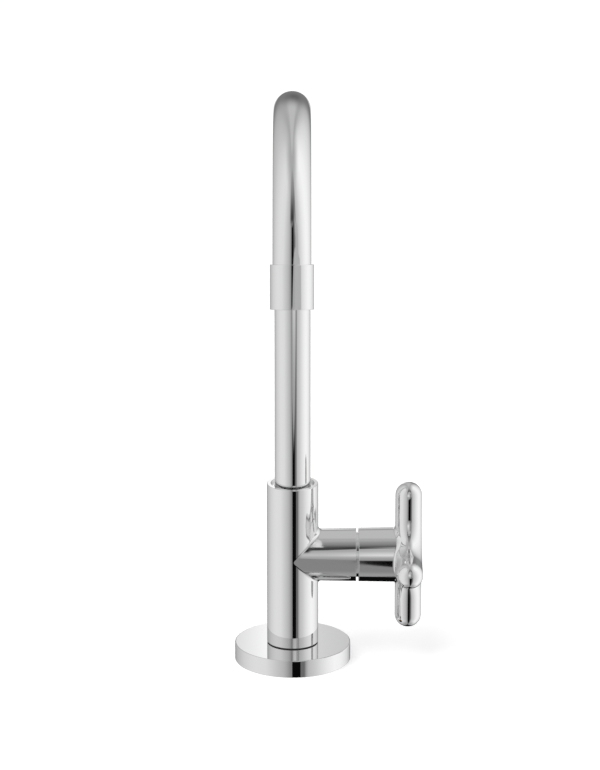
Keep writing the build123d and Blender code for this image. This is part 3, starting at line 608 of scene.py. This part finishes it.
def barrel_hole(u, v, theta_0, z_0):
    """Round hole in the barrel's wall: rings run from the window's edge to the hole's edge.

    The hole is a cylinder square to the wall, so a point at distance d beside its axis lies
    at theta = asin(d / barrel radius) from the axis.
    """
    side, up = np.sin(u - theta_0) * BODY_R, v - z_0
    way = np.arctan2(up, side)
    edge_side, edge_up = SCREW_HOLE_R * np.cos(way), SCREW_HOLE_R * np.sin(way)
    share = np.linspace(0, 1, 6)[:, None]
    flat = (side + share * (edge_side * HOLE_FLARE - side),
            up + share * (edge_up * HOLE_FLARE - up))
    angle = np.arcsin(flat[0] / BODY_R) + theta_0
    spoke = np.stack([np.cos(angle), np.sin(angle), 0 * angle], -1)
    ring = spoke * BODY_R + (flat[1] + z_0)[..., None] * Z_AXIS, spoke
    depth = np.array([*HOLE_RIM_DEPTHS, LOCK_HOLE_DEPTH])[:, None]
    width = np.array(HOLE_RIM_WIDTHS)[:, None]
    lean = np.array(HOLE_RIM_LEANS)[:, None, None]
    bore_side, bore_up = edge_side * width, edge_up * width
    height = np.sqrt(BODY_R ** 2 - bore_side ** 2) - depth
    outward = np.array([cos(theta_0), sin(theta_0), 0.0])
    beside = np.array([-sin(theta_0), cos(theta_0), 0.0])
    place = (height[..., None] * outward + bore_side[..., None] * beside
             + (bore_up + z_0)[..., None] * Z_AXIS)
    inward = -(np.cos(way)[:, None] * beside + np.sin(way)[:, None] * Z_AXIS)
    facing = unit(lean * ring[1][-1:] + (1 - lean) * inward)
    floor = np.stack([place[-1], np.broadcast_to(
        outward * height[-1].mean() + z_0 * Z_AXIS, place[-1].shape)])
    return [ring, (place, facing), (floor, np.broadcast_to(outward, floor.shape))]


piece("body", body_patches(), chrome, "chrome", "base", "tap_body")

piece("groove_sleeve", [lathe(profile([
    (SLEEVE_BORE_R, SLEEVE_START, 0.1), (SLEEVE_BORE_R, SLEEVE_END, 0.2),
    (SLEEVE_R, SLEEVE_END, 0.3), (SLEEVE_R, HUB_START + 0.1), (SLEEVE_NEAR_R, BRANCH_END + 0.02),
    (SLEEVE_SEAT_R, BRANCH_END), (SLEEVE_SEAT_R, SLEEVE_START, 0.1)][::-1], closed=True), ROUND,
    (0, 0, VALVE_Z), X_AXIS, Z_AXIS)], chrome, "chrome", "base", "guide_sleeve")

piece("mouth_ring", [lathe(profile([
    (GUIDE_IN_R, GUIDE_LOW, 0.1), (GUIDE_OUT_R, GUIDE_LOW, 0.1),
    (GUIDE_OUT_R, GUIDE_HIGH, 0.2), (GUIDE_IN_R, GUIDE_HIGH, 0.2)],
    closed=True), ROUND)], chrome, "chrome", "base", "guide_ring")


# Pieces of the spout

def spout_path():
    """Centre line and in-plane normal: riser, arch of a constant radius, short straight end."""
    sweep = pi - OUTLET_TILT
    riser = np.linspace(PIPE_FOOT, ARCH_Z, 24)
    line = np.stack([0 * riser, 0 * riser, riser], -1)
    turn = np.linspace(0, sweep, 200)[1:]
    arc = np.stack([0 * turn, -ARCH_R + ARCH_R * np.cos(turn), ARCH_Z + ARCH_R * np.sin(turn)], -1)
    out = np.array([0, -sin(OUTLET_TILT), -cos(OUTLET_TILT)])
    tail = arc[-1] + np.array([PIPE_TAIL / 2, PIPE_TAIL])[:, None] * out
    centre = np.concatenate([line, arc, tail])
    angle = np.concatenate([0 * riser, turn, [sweep, sweep]])
    outward = np.stack([0 * angle, np.cos(angle), np.sin(angle)], -1)
    return centre, outward, out


path, path_outward, outlet_way = spout_path()
outlet_start = path[-1] - PIPE_TAIL * outlet_way


def pipe(radius, angles, sign):
    """Circle of a radius carried along the spout's path, facing out (1) or in (-1)."""
    spoke = (np.cos(angles)[None, :, None] * X_AXIS
             + np.sin(angles)[None, :, None] * path_outward[:, None, :])
    return path[:, None, :] + radius * spoke, sign * spoke


tube_angles = circle(96)
outer_wall, inner_wall = pipe(TUBE_R, tube_angles, 1), pipe(TUBE_BORE_R, tube_angles, -1)
tube_ends = []
for end, way in ((0, -Z_AXIS), (-1, outlet_way)):
    ring = np.stack([outer_wall[0][end], inner_wall[0][end]])
    tube_ends.append((ring, np.broadcast_to(way, ring.shape)))
piece("spout_pipe", [outer_wall, inner_wall] + tube_ends, chrome, "chrome", "spout", "spout_tube")

piece("outlet_collar", [lathe(profile([
    (TUBE_R + 0.02, 0, 0.1), (TUBE_R + 0.02, PIPE_TAIL, 0.05), (COLLAR_BORE_R, PIPE_TAIL, 0.05),
    (COLLAR_BORE_R, COLLAR_LENGTH, 0.15), (COLLAR_R, COLLAR_LENGTH, 0.25),
    (COLLAR_R, 0, 0.25)][::-1], closed=True), circle(144), outlet_start,
    outlet_way, X_AXIS)], chrome, "chrome", "spout", "outlet_sleeve")


def jet_ring_patches():
    """Aerator's outer ring: a turned tube with an inner lip and four key slots in its mouth.

    The slots only widen the wall's inner radius in its last stretch. Two angles a hair apart
    stand at each side of a slot, so its cheeks are nearly square.
    """
    half_slot = asin(JET_SLOT_HALF / JET_SLOT_R)
    cheeks = np.array([-half_slot - 4e-4, -half_slot, half_slot, half_slot + 4e-4])
    quarter = np.concatenate([cheeks, np.radians(np.arange(15, 80, 5))])
    angles = np.concatenate([quarter + k * pi / 2 for k in range(4)] + [cheeks[:1] + 2 * pi])
    in_slot = np.abs((angles + pi / 4) % (pi / 2) - pi / 4) < half_slot + 2e-4
    mouth = np.where(in_slot, JET_KEY_R, JET_WALL_R)
    wall, lip = JET_WALL_R + 0 * angles, JET_LIP_R + 0 * angles
    outside = JET_R + 0 * angles
    side = np.cross(outlet_way, X_AXIS)
    spoke = np.cos(angles)[:, None] * X_AXIS + np.sin(angles)[:, None] * side
    patches = []
    outline = [
        (wall, JET_START, 0, -1), (outside, JET_START, 1, 0), (outside, JET_END - 0.1, 1, 1),
        (outside - 0.1, JET_END, 0, 1), (mouth, JET_END, -1, 0), (mouth, JET_LIP_END, 0, 1),
        (wall, JET_LIP_END, 0, 1), (lip, JET_LIP_END, -1, 0), (lip, JET_LIP_START, 0, -1),
        (wall, JET_LIP_START, -1, 0), (wall, JET_START, 0, 0)]
    for (r_from, z_from, out, along), (r_to, z_to, _, _) in zip(outline, outline[1:]):
        place = np.stack([outlet_start + r[:, None] * spoke + z * outlet_way
                          for r, z in ((r_from, z_from), (r_to, z_to))])
        patches.append((place, np.broadcast_to(out * spoke + along * outlet_way, place.shape)))
    return patches


piece("jet_ring", jet_ring_patches(), chrome, "chrome", "spout", "aerator_housing", creased=True)


# Cross handle

def cross_distance(p):
    """Distance to the arms: a flat cross outline with webs in its corners, edges rounded.

    In the plane, the distance is to the nearer slot, or to the web's circle in a corner. Out
    of the plane, the outline drawn in by the rounding is a slab, and the distance to that
    slab less the rounding is the distance to the arms.
    """
    u, v = np.abs(p[..., 1]), np.abs(p[..., 2] - VALVE_Z)
    long, short = np.maximum(u, v), np.minimum(u, v)
    slot = np.hypot(np.maximum(long - (ARM_HALF_SPAN - ARM_R), 0), short) - ARM_R
    web_at = ARM_R + ARM_WEB_R
    web = ARM_WEB_R - np.hypot(web_at - u, web_at - v)
    flat = np.where(long < web_at, web, slot) + ARM_ROUND
    thick = np.abs(p[..., 0] - CROSS_X) - ARM_R + ARM_ROUND
    return (np.minimum(np.maximum(flat, thick), 0)
            + np.hypot(np.maximum(flat, 0), np.maximum(thick, 0)) - ARM_ROUND)


def hub_distance(p):
    """Distance to the hub: a slightly flared round bar with a rounded end."""
    rho = np.hypot(p[..., 1], p[..., 2] - VALVE_Z)
    share = np.clip((p[..., 0] - HUB_START) / (HUB_END - HUB_START), 0, 1)
    side = rho - (HUB_START_R + share * (HUB_END_R - HUB_START_R)) + HUB_NOSE_R
    ahead = p[..., 0] - HUB_END
    return (np.minimum(np.maximum(side, ahead), 0)
            + np.hypot(np.maximum(side, 0), np.maximum(ahead, 0)) - HUB_NOSE_R)


def handle_distance(p):
    """Both joined by a round fillet: where both are near, the distance is to the fillet's arc."""
    a, b = cross_distance(p), hub_distance(p)
    near = np.hypot(np.maximum(HUB_FILLET - a, 0), np.maximum(HUB_FILLET - b, 0))
    return np.maximum(HUB_FILLET, np.minimum(a, b)) - near


def slope_of(distance, p, step=1e-3):
    """Direction in which a distance grows, from differences both ways along each axis."""
    return unit(np.stack(
        [distance(p + step * e) - distance(p - step * e) for e in np.eye(3)], -1))


def hub_radius(x):
    """Slight flare of the hub's side, from its open end to the cross."""
    return HUB_START_R + (x - HUB_START) * tan(HUB_FLARE)


def handle_patches():
    """Cross and hub end: the point where a ray from the cross's centre leaves the solid.

    A ray is set by its turn round the hub's axis and its tilt from the axis; the way out is
    found by halving the stretch between inside and outside. The hub below is turned.
    """
    t = np.linspace(-1, 1, 65)[:-1]
    quarter = pi / 4 * (0.35 * t + 0.65 * t ** 3)
    turn = np.concatenate([quarter + k * pi / 2 for k in range(4)] + [quarter[:1] + 2 * pi])
    r_join = HUB_START_R + (
        (HUB_SIDE_END - HUB_START) / (HUB_END - HUB_START) * (HUB_END_R - HUB_START_R))
    behind = atan2(r_join, CROSS_X - HUB_SIDE_END)
    t_low, t_high = np.linspace(1, 0, 56), np.linspace(0, 1, 91)[1:]
    tilt = np.concatenate([
        pi / 2 - (pi / 2 - behind) * (0.4 * t_low + 0.6 * t_low ** 3),
        pi / 2 + pi / 2 * (0.18 * t_high + 0.82 * t_high ** 3)])
    spoke = np.stack([0 * turn, np.sin(turn), np.cos(turn)], -1)
    ray = -np.cos(tilt)[:, None, None] * X_AXIS + np.sin(tilt)[:, None, None] * spoke
    centre = np.array([CROSS_X, 0, VALVE_Z])
    near, far = np.zeros(ray.shape[:2]), np.full(ray.shape[:2], 60.0)
    for _ in range(46):
        middle = (near + far) / 2
        inside = handle_distance(centre + middle[..., None] * ray) < 0
        near, far = np.where(inside, middle, near), np.where(inside, far, middle)
    place = centre + near[..., None] * ray
    place[0] = HUB_SIDE_END * X_AXIS + VALVE_Z * Z_AXIS + r_join * spoke
    place[-1] = (CROSS_X + ARM_R) * X_AXIS + VALVE_Z * Z_AXIS
    facing = slope_of(handle_distance, place)
    facing[-1] = X_AXIS
    side_normal = -sin(HUB_FLARE) * X_AXIS + cos(HUB_FLARE) * spoke
    facing[0] = side_normal
    edge_end = HUB_START + HUB_EDGE + 1
    mouth = profile([
        (0, HUB_BORE_FLOOR), (HUB_BORE_R, HUB_BORE_FLOOR, 0.1), (HUB_BORE_R, HUB_START, 0.15),
        (hub_radius(HUB_START), HUB_START, HUB_EDGE), (hub_radius(edge_end), edge_end)])
    mouth = mouth[0][:-1], mouth[1][:-1]
    cuff = lathe(mouth, turn, (0, 0, VALVE_Z), X_AXIS, Z_AXIS)
    cuff = cuff[0] * [1, -1, 1], cuff[1] * [1, -1, 1]
    x_first = mouth[0][-1, 1]

    def side(columns, xs):
        place = (xs[:, None, None] * X_AXIS + hub_radius(xs)[:, None, None] * spoke[columns]
                 + VALVE_Z * Z_AXIS)
        return place, np.broadcast_to(side_normal[columns], place.shape)

    # the hub's side, with a window round the grub screw's hole on its underside
    x_rows = np.array([
        x_first, 38.0, 42.0, 43.6, 44.7, 45.8, GRUB_SCREW_X, 48.2, 49.3, 50.4, HUB_SIDE_END])
    window = np.flatnonzero(np.abs(turn - pi) < SCREW_WINDOW)
    rows = slice(3, 10)
    patches = [(place, facing), cuff]
    for columns, levels in around_window(window, x_rows, rows):
        patches.append(side(columns, levels))
    u, v = border(turn[window] - pi, x_rows[rows])
    return patches + hub_hole(u, v)


def hub_hole(u, v):
    """Round hole on the hub's underside, made like the one in the barrel's wall.

    Its axis points along -Z; u is the turn from there round the hub and v the place along X.
    """
    beside, along = np.sin(u) * hub_radius(v), v - GRUB_SCREW_X
    way = np.arctan2(along, beside)
    hole_beside, hole_along = SCREW_HOLE_R * np.cos(way), SCREW_HOLE_R * np.sin(way)
    share = np.linspace(0, 1, 6)[:, None]
    flat = (beside + share * (hole_beside * HOLE_FLARE - beside),
            along + share * (hole_along * HOLE_FLARE - along))
    radius = hub_radius(GRUB_SCREW_X + flat[1])
    lean = np.arcsin(flat[0] / radius) + pi
    ring_spoke = np.stack([0 * lean, np.sin(lean), np.cos(lean)], -1)
    ring = (radius[..., None] * ring_spoke + (GRUB_SCREW_X + flat[1])[..., None] * X_AXIS
            + VALVE_Z * Z_AXIS, -sin(HUB_FLARE) * X_AXIS + cos(HUB_FLARE) * ring_spoke)
    depth = np.array([*HOLE_RIM_DEPTHS, GRUB_HOLE_DEPTH])[:, None]
    width = np.array(HOLE_RIM_WIDTHS)[:, None]
    mix = np.array(HOLE_RIM_LEANS)[:, None, None]
    bore_beside, bore_along = hole_beside * width, hole_along * width
    height = np.sqrt(hub_radius(GRUB_SCREW_X + bore_along) ** 2 - bore_beside ** 2) - depth
    bore = ((GRUB_SCREW_X + bore_along)[..., None] * X_AXIS - bore_beside[..., None] * Y_AXIS
            + (VALVE_Z - height)[..., None] * Z_AXIS)
    inward = -(np.sin(way)[:, None] * X_AXIS - np.cos(way)[:, None] * Y_AXIS)
    bore_facing = unit(mix * ring[1][-1:] + (1 - mix) * inward)
    end = np.stack([bore[-1], np.broadcast_to(
        GRUB_SCREW_X * X_AXIS + (VALVE_Z - height[-1].mean()) * Z_AXIS, bore[-1].shape)])
    return [ring, (bore, bore_facing), (end, np.broadcast_to(-Z_AXIS, end.shape))]


piece("handle", handle_patches(), chrome, "chrome", "handle", "cross_handle")


# Studio, light and camera

# The studio that polished metal shows. Compass directions are in degrees, 0 towards the camera
# and positive to its right, heights in degrees above the horizon. Levels are the greys that the
# metal shows, and the studio is brighter by what one reflection takes away.
ROUND_LEVELS = [
    (-180, 0.07), (-170, 0.17), (-160, 0.36), (-143, 0.50), (-127, 0.59), (-114, 0.67),
    (-93, 0.75), (-78, 0.78), (-55, 0.76), (-46, 0.70), (-32, 0.60), (-19, 0.50), (-13, 0.42),
    (-7, 0.31), (0, 0.22), (15, 0.16), (23, 0.22), (27, 0.36), (32, 0.53), (46, 0.63),
    (60, 0.77), (75, 0.89), (93, 0.98), (110, 0.95), (126, 0.84), (140, 0.71), (156, 0.45),
    (164, 0.22), (172, 0.07), (180, 0.06)]
CEILING_LEVEL = 0.42
GROUND_LEVEL = 0.33
METAL_GAIN = 1.195
BLACK = 0.003
# Plain surfaces get an even light from all round instead
PLAIN_LEVEL = 0.62
# What stands in the gap between the two soft boxes: its level, where it starts and ends round the
# compass, and where it starts and ends in height, each edge soft between two angles. In turn: the
# dim ground in front, the dark over the gap, its darkest part, and the black slot under that.
GAP_PATCHES = [
    (0.245, (-7, -2.5), (2, 5), (-80, -40), (-6, -3)),
    (0.27, (-18, -2), (13, 33), (38, 44), (60, 84)),
    (0.05, (-18, -2), (13, 33), (38, 44), (44, 68)),
    (BLACK, (-3, -2.4), (10, 14), (13, 15), (37, 41)),
]
# Black gap right of the camera: the parabola of its left edge has this place, height and bend
BLACK_GAP_LEFT = -0.95
BLACK_GAP_TOP = -12
BLACK_GAP_BEND = 0.00105


def toward(level, target, share):
    """Level moved to a target by a share between 0 and 1."""
    return level + (target - level) * share


def between(value, rise, fall):
    """1 inside a stretch and 0 outside it, with a soft rise and a soft fall."""
    return value.step(*rise) * value.step(*reversed(fall))


def studio_level(paint, x, y, z):
    """Grey of the studio in one direction: two wide soft boxes, and what stands between them."""
    around = paint.node("ShaderNodeMath", {"operation": "ARCTAN2"}, x, 0.0 - y) * (180 / pi)
    height = paint.node("ShaderNodeMath", {"operation": "ARCSINE"}, z) * (180 / pi)
    stops = [(angle / 360 + 0.5, level) for angle, level in ROUND_LEVELS]
    level = paint.node("ShaderNodeValToRGB", {"stops": stops}, around * (1 / 360) + 0.5)
    level = toward(level, CEILING_LEVEL, height.step(55, 84))
    level = toward(level, GROUND_LEVEL, height.step(-50, -80))
    for grey, left, right, bottom, top in GAP_PATCHES:
        level = toward(level, grey, between(around, left, right) * between(height, bottom, top))
    # the black gap right of the camera, with a dim stripe along its right side
    drop = height - BLACK_GAP_TOP
    beside = around - BLACK_GAP_LEFT - drop * drop * BLACK_GAP_BEND
    gap = beside.step(-0.12, 0.12) * around.step(16.4, 15.2) * height.step(-8.0, -9.6)
    stripe = 0.145 + height.step(-10, 4) * 0.2
    level = toward(level, stripe, between(around, (14, 16), (22, 27)) * height.step(60, 34))
    level = toward(level, BLACK, gap)
    # behind the tap: dim above the horizon, black close below the tap, painted shade standing for
    # the tap's own shadow on the floor
    behind = (around * around).step(150 ** 2, 172 ** 2)
    level = toward(level, 0.52, behind * height.step(12, 40))
    level = toward(level, 0.18, behind * between(height, (-12, -5), (-4, 34)))
    # painted shade: the tap's own shadow on the floor close under and behind it, as the metal
    # shows it
    under = behind * between(height, (-90.5, -85.5), (-30, -24))
    return toward(level, BLACK, under) * METAL_GAIN


world = bpy.data.worlds.new("studio")
bpy.context.scene.world = world
sky = Paint(world)
sky_parts = sky.split(sky.node("ShaderNodeTexCoord", {}, output="Generated"))
is_camera = sky.node("ShaderNodeLightPath", {}, output="Is Camera Ray")
is_glossy = sky.node("ShaderNodeLightPath", {}, output="Is Glossy Ray")
plain_light = sky.node("ShaderNodeBackground", {}, (1, 1, 1, 1), PLAIN_LEVEL)
studio = sky.node("ShaderNodeBackground", {}, studio_level(sky, *sky_parts), 1.0)
white = sky.node("ShaderNodeBackground", {}, (1, 1, 1, 1), 1.0)
seen_in_metal = sky.node("ShaderNodeMixShader", {}, is_glossy, plain_light, studio)
sky.node("ShaderNodeOutputWorld", {}, sky.node(
    "ShaderNodeMixShader", {}, is_camera, seen_in_metal, white))


FLOOR_GREY = 0.8
FLOOR_GLOW = 0.45


def floor_finish():
    """Pale floor: lit plainly, white to the camera but for shadows, clear from below."""
    material = bpy.data.materials.new("studio_floor")
    paint = Paint(material)
    camera_ray = paint.node("ShaderNodeLightPath", {}, output="Is Camera Ray")
    glossy_ray = paint.node("ShaderNodeLightPath", {}, output="Is Glossy Ray")
    below = paint.node("ShaderNodeNewGeometry", {}, output="Backfacing")
    plain = paint.node("ShaderNodeBsdfDiffuse", {}, (FLOOR_GREY, FLOOR_GREY, FLOOR_GREY, 1))
    glow = paint.node("ShaderNodeEmission", {}, (1, 1, 1, 1), FLOOR_GLOW)
    lit = paint.node("ShaderNodeAddShader", {}, glow, plain)
    seen = paint.node("ShaderNodeMixShader", {}, camera_ray, plain, lit)
    clear = paint.node("ShaderNodeBsdfTransparent", {})
    see_through = paint.node("ShaderNodeMath", {"operation": "MAXIMUM"}, below, glossy_ray)
    paint.node("ShaderNodeOutputMaterial", {}, paint.node(
        "ShaderNodeMixShader", {}, see_through, seen, clear))
    return material


# Back card on each side of its middle: a place in metres, the grey there, and the rise per metre
BACK_CARD_LEFT = (-0.0351, 0.77, 11)
BACK_CARD_RIGHT = (0.0192, 0.65, -3.8)


def back_card_finish():
    """Back card: it brightens up to its middle, then starts again dimmer and fades."""
    material = bpy.data.materials.new("back_card")
    paint = Paint(material)
    x, _, _ = paint.split(paint.node("ShaderNodeTexCoord", {}, output="Object"))
    left, right = [
        (x - at) * rise + grey for at, grey, rise in (BACK_CARD_LEFT, BACK_CARD_RIGHT)]
    level = toward(left, right, x.step(0.0, 0.012)) * METAL_GAIN
    paint.node("ShaderNodeOutputMaterial", {}, paint.node("ShaderNodeEmission", {}, level, 1.0))
    return material


# Front card over heights in mm: the level at its left edge, what its middle adds to that, and how
# sharply its dark part brightens to the right, as a share per mm
CARD_SCALE = 400
FRONT_CARD_LEVELS = [
    (28, 0.32), (65, 0.37), (95, 0.44), (126, 0.55), (176, 0.49), (230, 0.40), (262, 0.40)]
FRONT_CARD_MIDDLE = [
    (65, 0.0), (88, 0.04), (128, 0.22), (176, 0.12), (230, 0.06), (262, 0.06)]
FRONT_CARD_SHARPNESS = [
    (257, 0.083), (281, 0.080), (291, 0.065), (300, 0.062), (308, 0.035), (317, 0.019),
    (341, 0.017), (357, 0.020)]


def front_card_finish():
    """Front card: a bright panel that fades downwards, and a dark one that stands on it.

    The dark panel is clear near its left edge, where the studio's own black slot shows.
    Places on the card are in millimetres.
    """
    material = bpy.data.materials.new("front_card")
    paint = Paint(material)
    place = paint.split(paint.node("ShaderNodeTexCoord", {}, output="Object"))
    x, _, z = [part * 1000 for part in place]
    share = z * (1 / CARD_SCALE)
    edge_level, middle_level, sharpness = [
        paint.node("ShaderNodeValToRGB", {
            "stops": [(height / CARD_SCALE, grey) for height, grey in levels]}, share)
        for levels in (FRONT_CARD_LEVELS, FRONT_CARD_MIDDLE, FRONT_CARD_SHARPNESS)]
    # greys of the bright panel, with a black strip at its left edge
    bright = toward(edge_level + middle_level * x.step(5, 45), 0.45, x.step(68, 80))
    bright = toward(bright, 0.02, between(x, (-7, -6), (-2, 1)) * z.step(150, 230))
    # greys of the dark panel, which brightens to the right of an edge that leans with the height
    edge = 1 + z.step(255, 290) * 14 + z.step(288, 300) * 6
    past_edge = ((x - edge) * sharpness).step(0, 1)
    open_part = z.step(283, 293)
    dark = toward(open_part * 0.05, toward(0.40, 0.46, x.step(25, 45)), past_edge)
    # outlines: the bright panel's foot hangs in a bow, the dark one stands on its top
    above = z.step(255, 259)
    from_middle = (x - 38) * (1 / 38)
    right = x - between(z, (225, 255), (288, 305)) * 34
    panel = x.step(-7, -3) * (z - from_middle * from_middle * 22).step(22, 44)
    cover = x.step(-7, -5) * z.step(395, 372)
    cover = cover * (1 - open_part * x.step(24, 12))
    shape = toward(panel, cover, above) * right.step(112, 104)
    level = toward(bright, dark, above) * METAL_GAIN
    card = paint.node("ShaderNodeEmission", {}, level, 1.0)
    clear = paint.node("ShaderNodeBsdfTransparent", {})
    paint.node("ShaderNodeOutputMaterial", {}, paint.node(
        "ShaderNodeMixShader", {}, shape, clear, card))
    return material


def stage_piece(name, place, material):
    """Grid of the studio, which is no part of the tap."""
    rows, columns = place.shape[:2]
    index = np.arange(rows * columns).reshape(rows, columns)
    quads = np.stack([index[:-1, :-1], index[1:, :-1], index[1:, 1:], index[:-1, 1:]], -1)
    mesh = bpy.data.meshes.new(name)
    mesh.from_pydata(place.reshape(-1, 3).tolist(), [], quads.reshape(-1, 4).tolist())
    made = bpy.data.objects.new(name, mesh)
    bpy.context.scene.collection.objects.link(made)
    mesh.materials.append(material)
    return made


# Floor: a flat ring whose radius grows from the tap hole to the studio's wall, in metres
floor_radius = np.array([0.011, 0.03, 0.1, 0.4, 1.5, 6.0])
floor_turn = circle(96)
floor_spoke = np.stack([np.cos(floor_turn), np.sin(floor_turn), 0 * floor_turn], -1)
stage_piece("floor", floor_radius[:, None, None] * floor_spoke, floor_finish())

# Cards that only metal shows, with their place before or behind the tap and their corners
for name, y, x_range, z_range, finish in (
        ("back_card", 0.4, (-0.09, 0.09), (0.0, 0.24), back_card_finish()),
        ("front_card", -0.272, (-0.01, 0.15), (0.02, 0.4), front_card_finish())):
    card_x, card_z = np.meshgrid(x_range, z_range)
    card = stage_piece(name, np.stack([card_x, 0 * card_x + y, card_z], -1), finish)
    card.visible_camera = False
    card.visible_diffuse = False
    card.visible_shadow = False

# The lamp, in metres and watts, with its tilt in degrees
LAMP_SIDE = 1.6
LAMP_WATTS = 28
LAMP_PLACE = (-0.9, -0.9, 2.2)
LAMP_TILT = (30, -22, 0)
lamp_data = bpy.data.lights.new("soft_lamp", "AREA")
lamp_data.shape = "RECTANGLE"
lamp_data.size, lamp_data.size_y = LAMP_SIDE, LAMP_SIDE
lamp_data.energy = LAMP_WATTS
lamp = bpy.data.objects.new("soft_lamp", lamp_data)
bpy.context.scene.collection.objects.link(lamp)
lamp.location = LAMP_PLACE
lamp.rotation_euler = [radians(angle) for angle in LAMP_TILT]
lamp.visible_glossy = False
lamp.visible_camera = False

# The camera's place in metres, its pitch below level in degrees, and its distance to the
# picture's plane in pixels of the 600 x 770 frame
CAMERA_PLACE = (0.00375, -2.0583, 0.7809)
CAMERA_PITCH = 17.15
FRAME_HEIGHT = 770
FOCAL_PIXELS = 4294
SENSOR = 36
camera_data = bpy.data.cameras.new("camera")
camera = bpy.data.objects.new("camera", camera_data)
bpy.context.scene.collection.objects.link(camera)
camera.location = CAMERA_PLACE
camera.rotation_euler = (radians(90 - CAMERA_PITCH), 0, 0)
camera_data.lens = FOCAL_PIXELS * SENSOR / FRAME_HEIGHT
camera_data.sensor_width = SENSOR
bpy.context.scene.camera = camera
bpy.context.scene.view_settings.view_transform = "Standard"
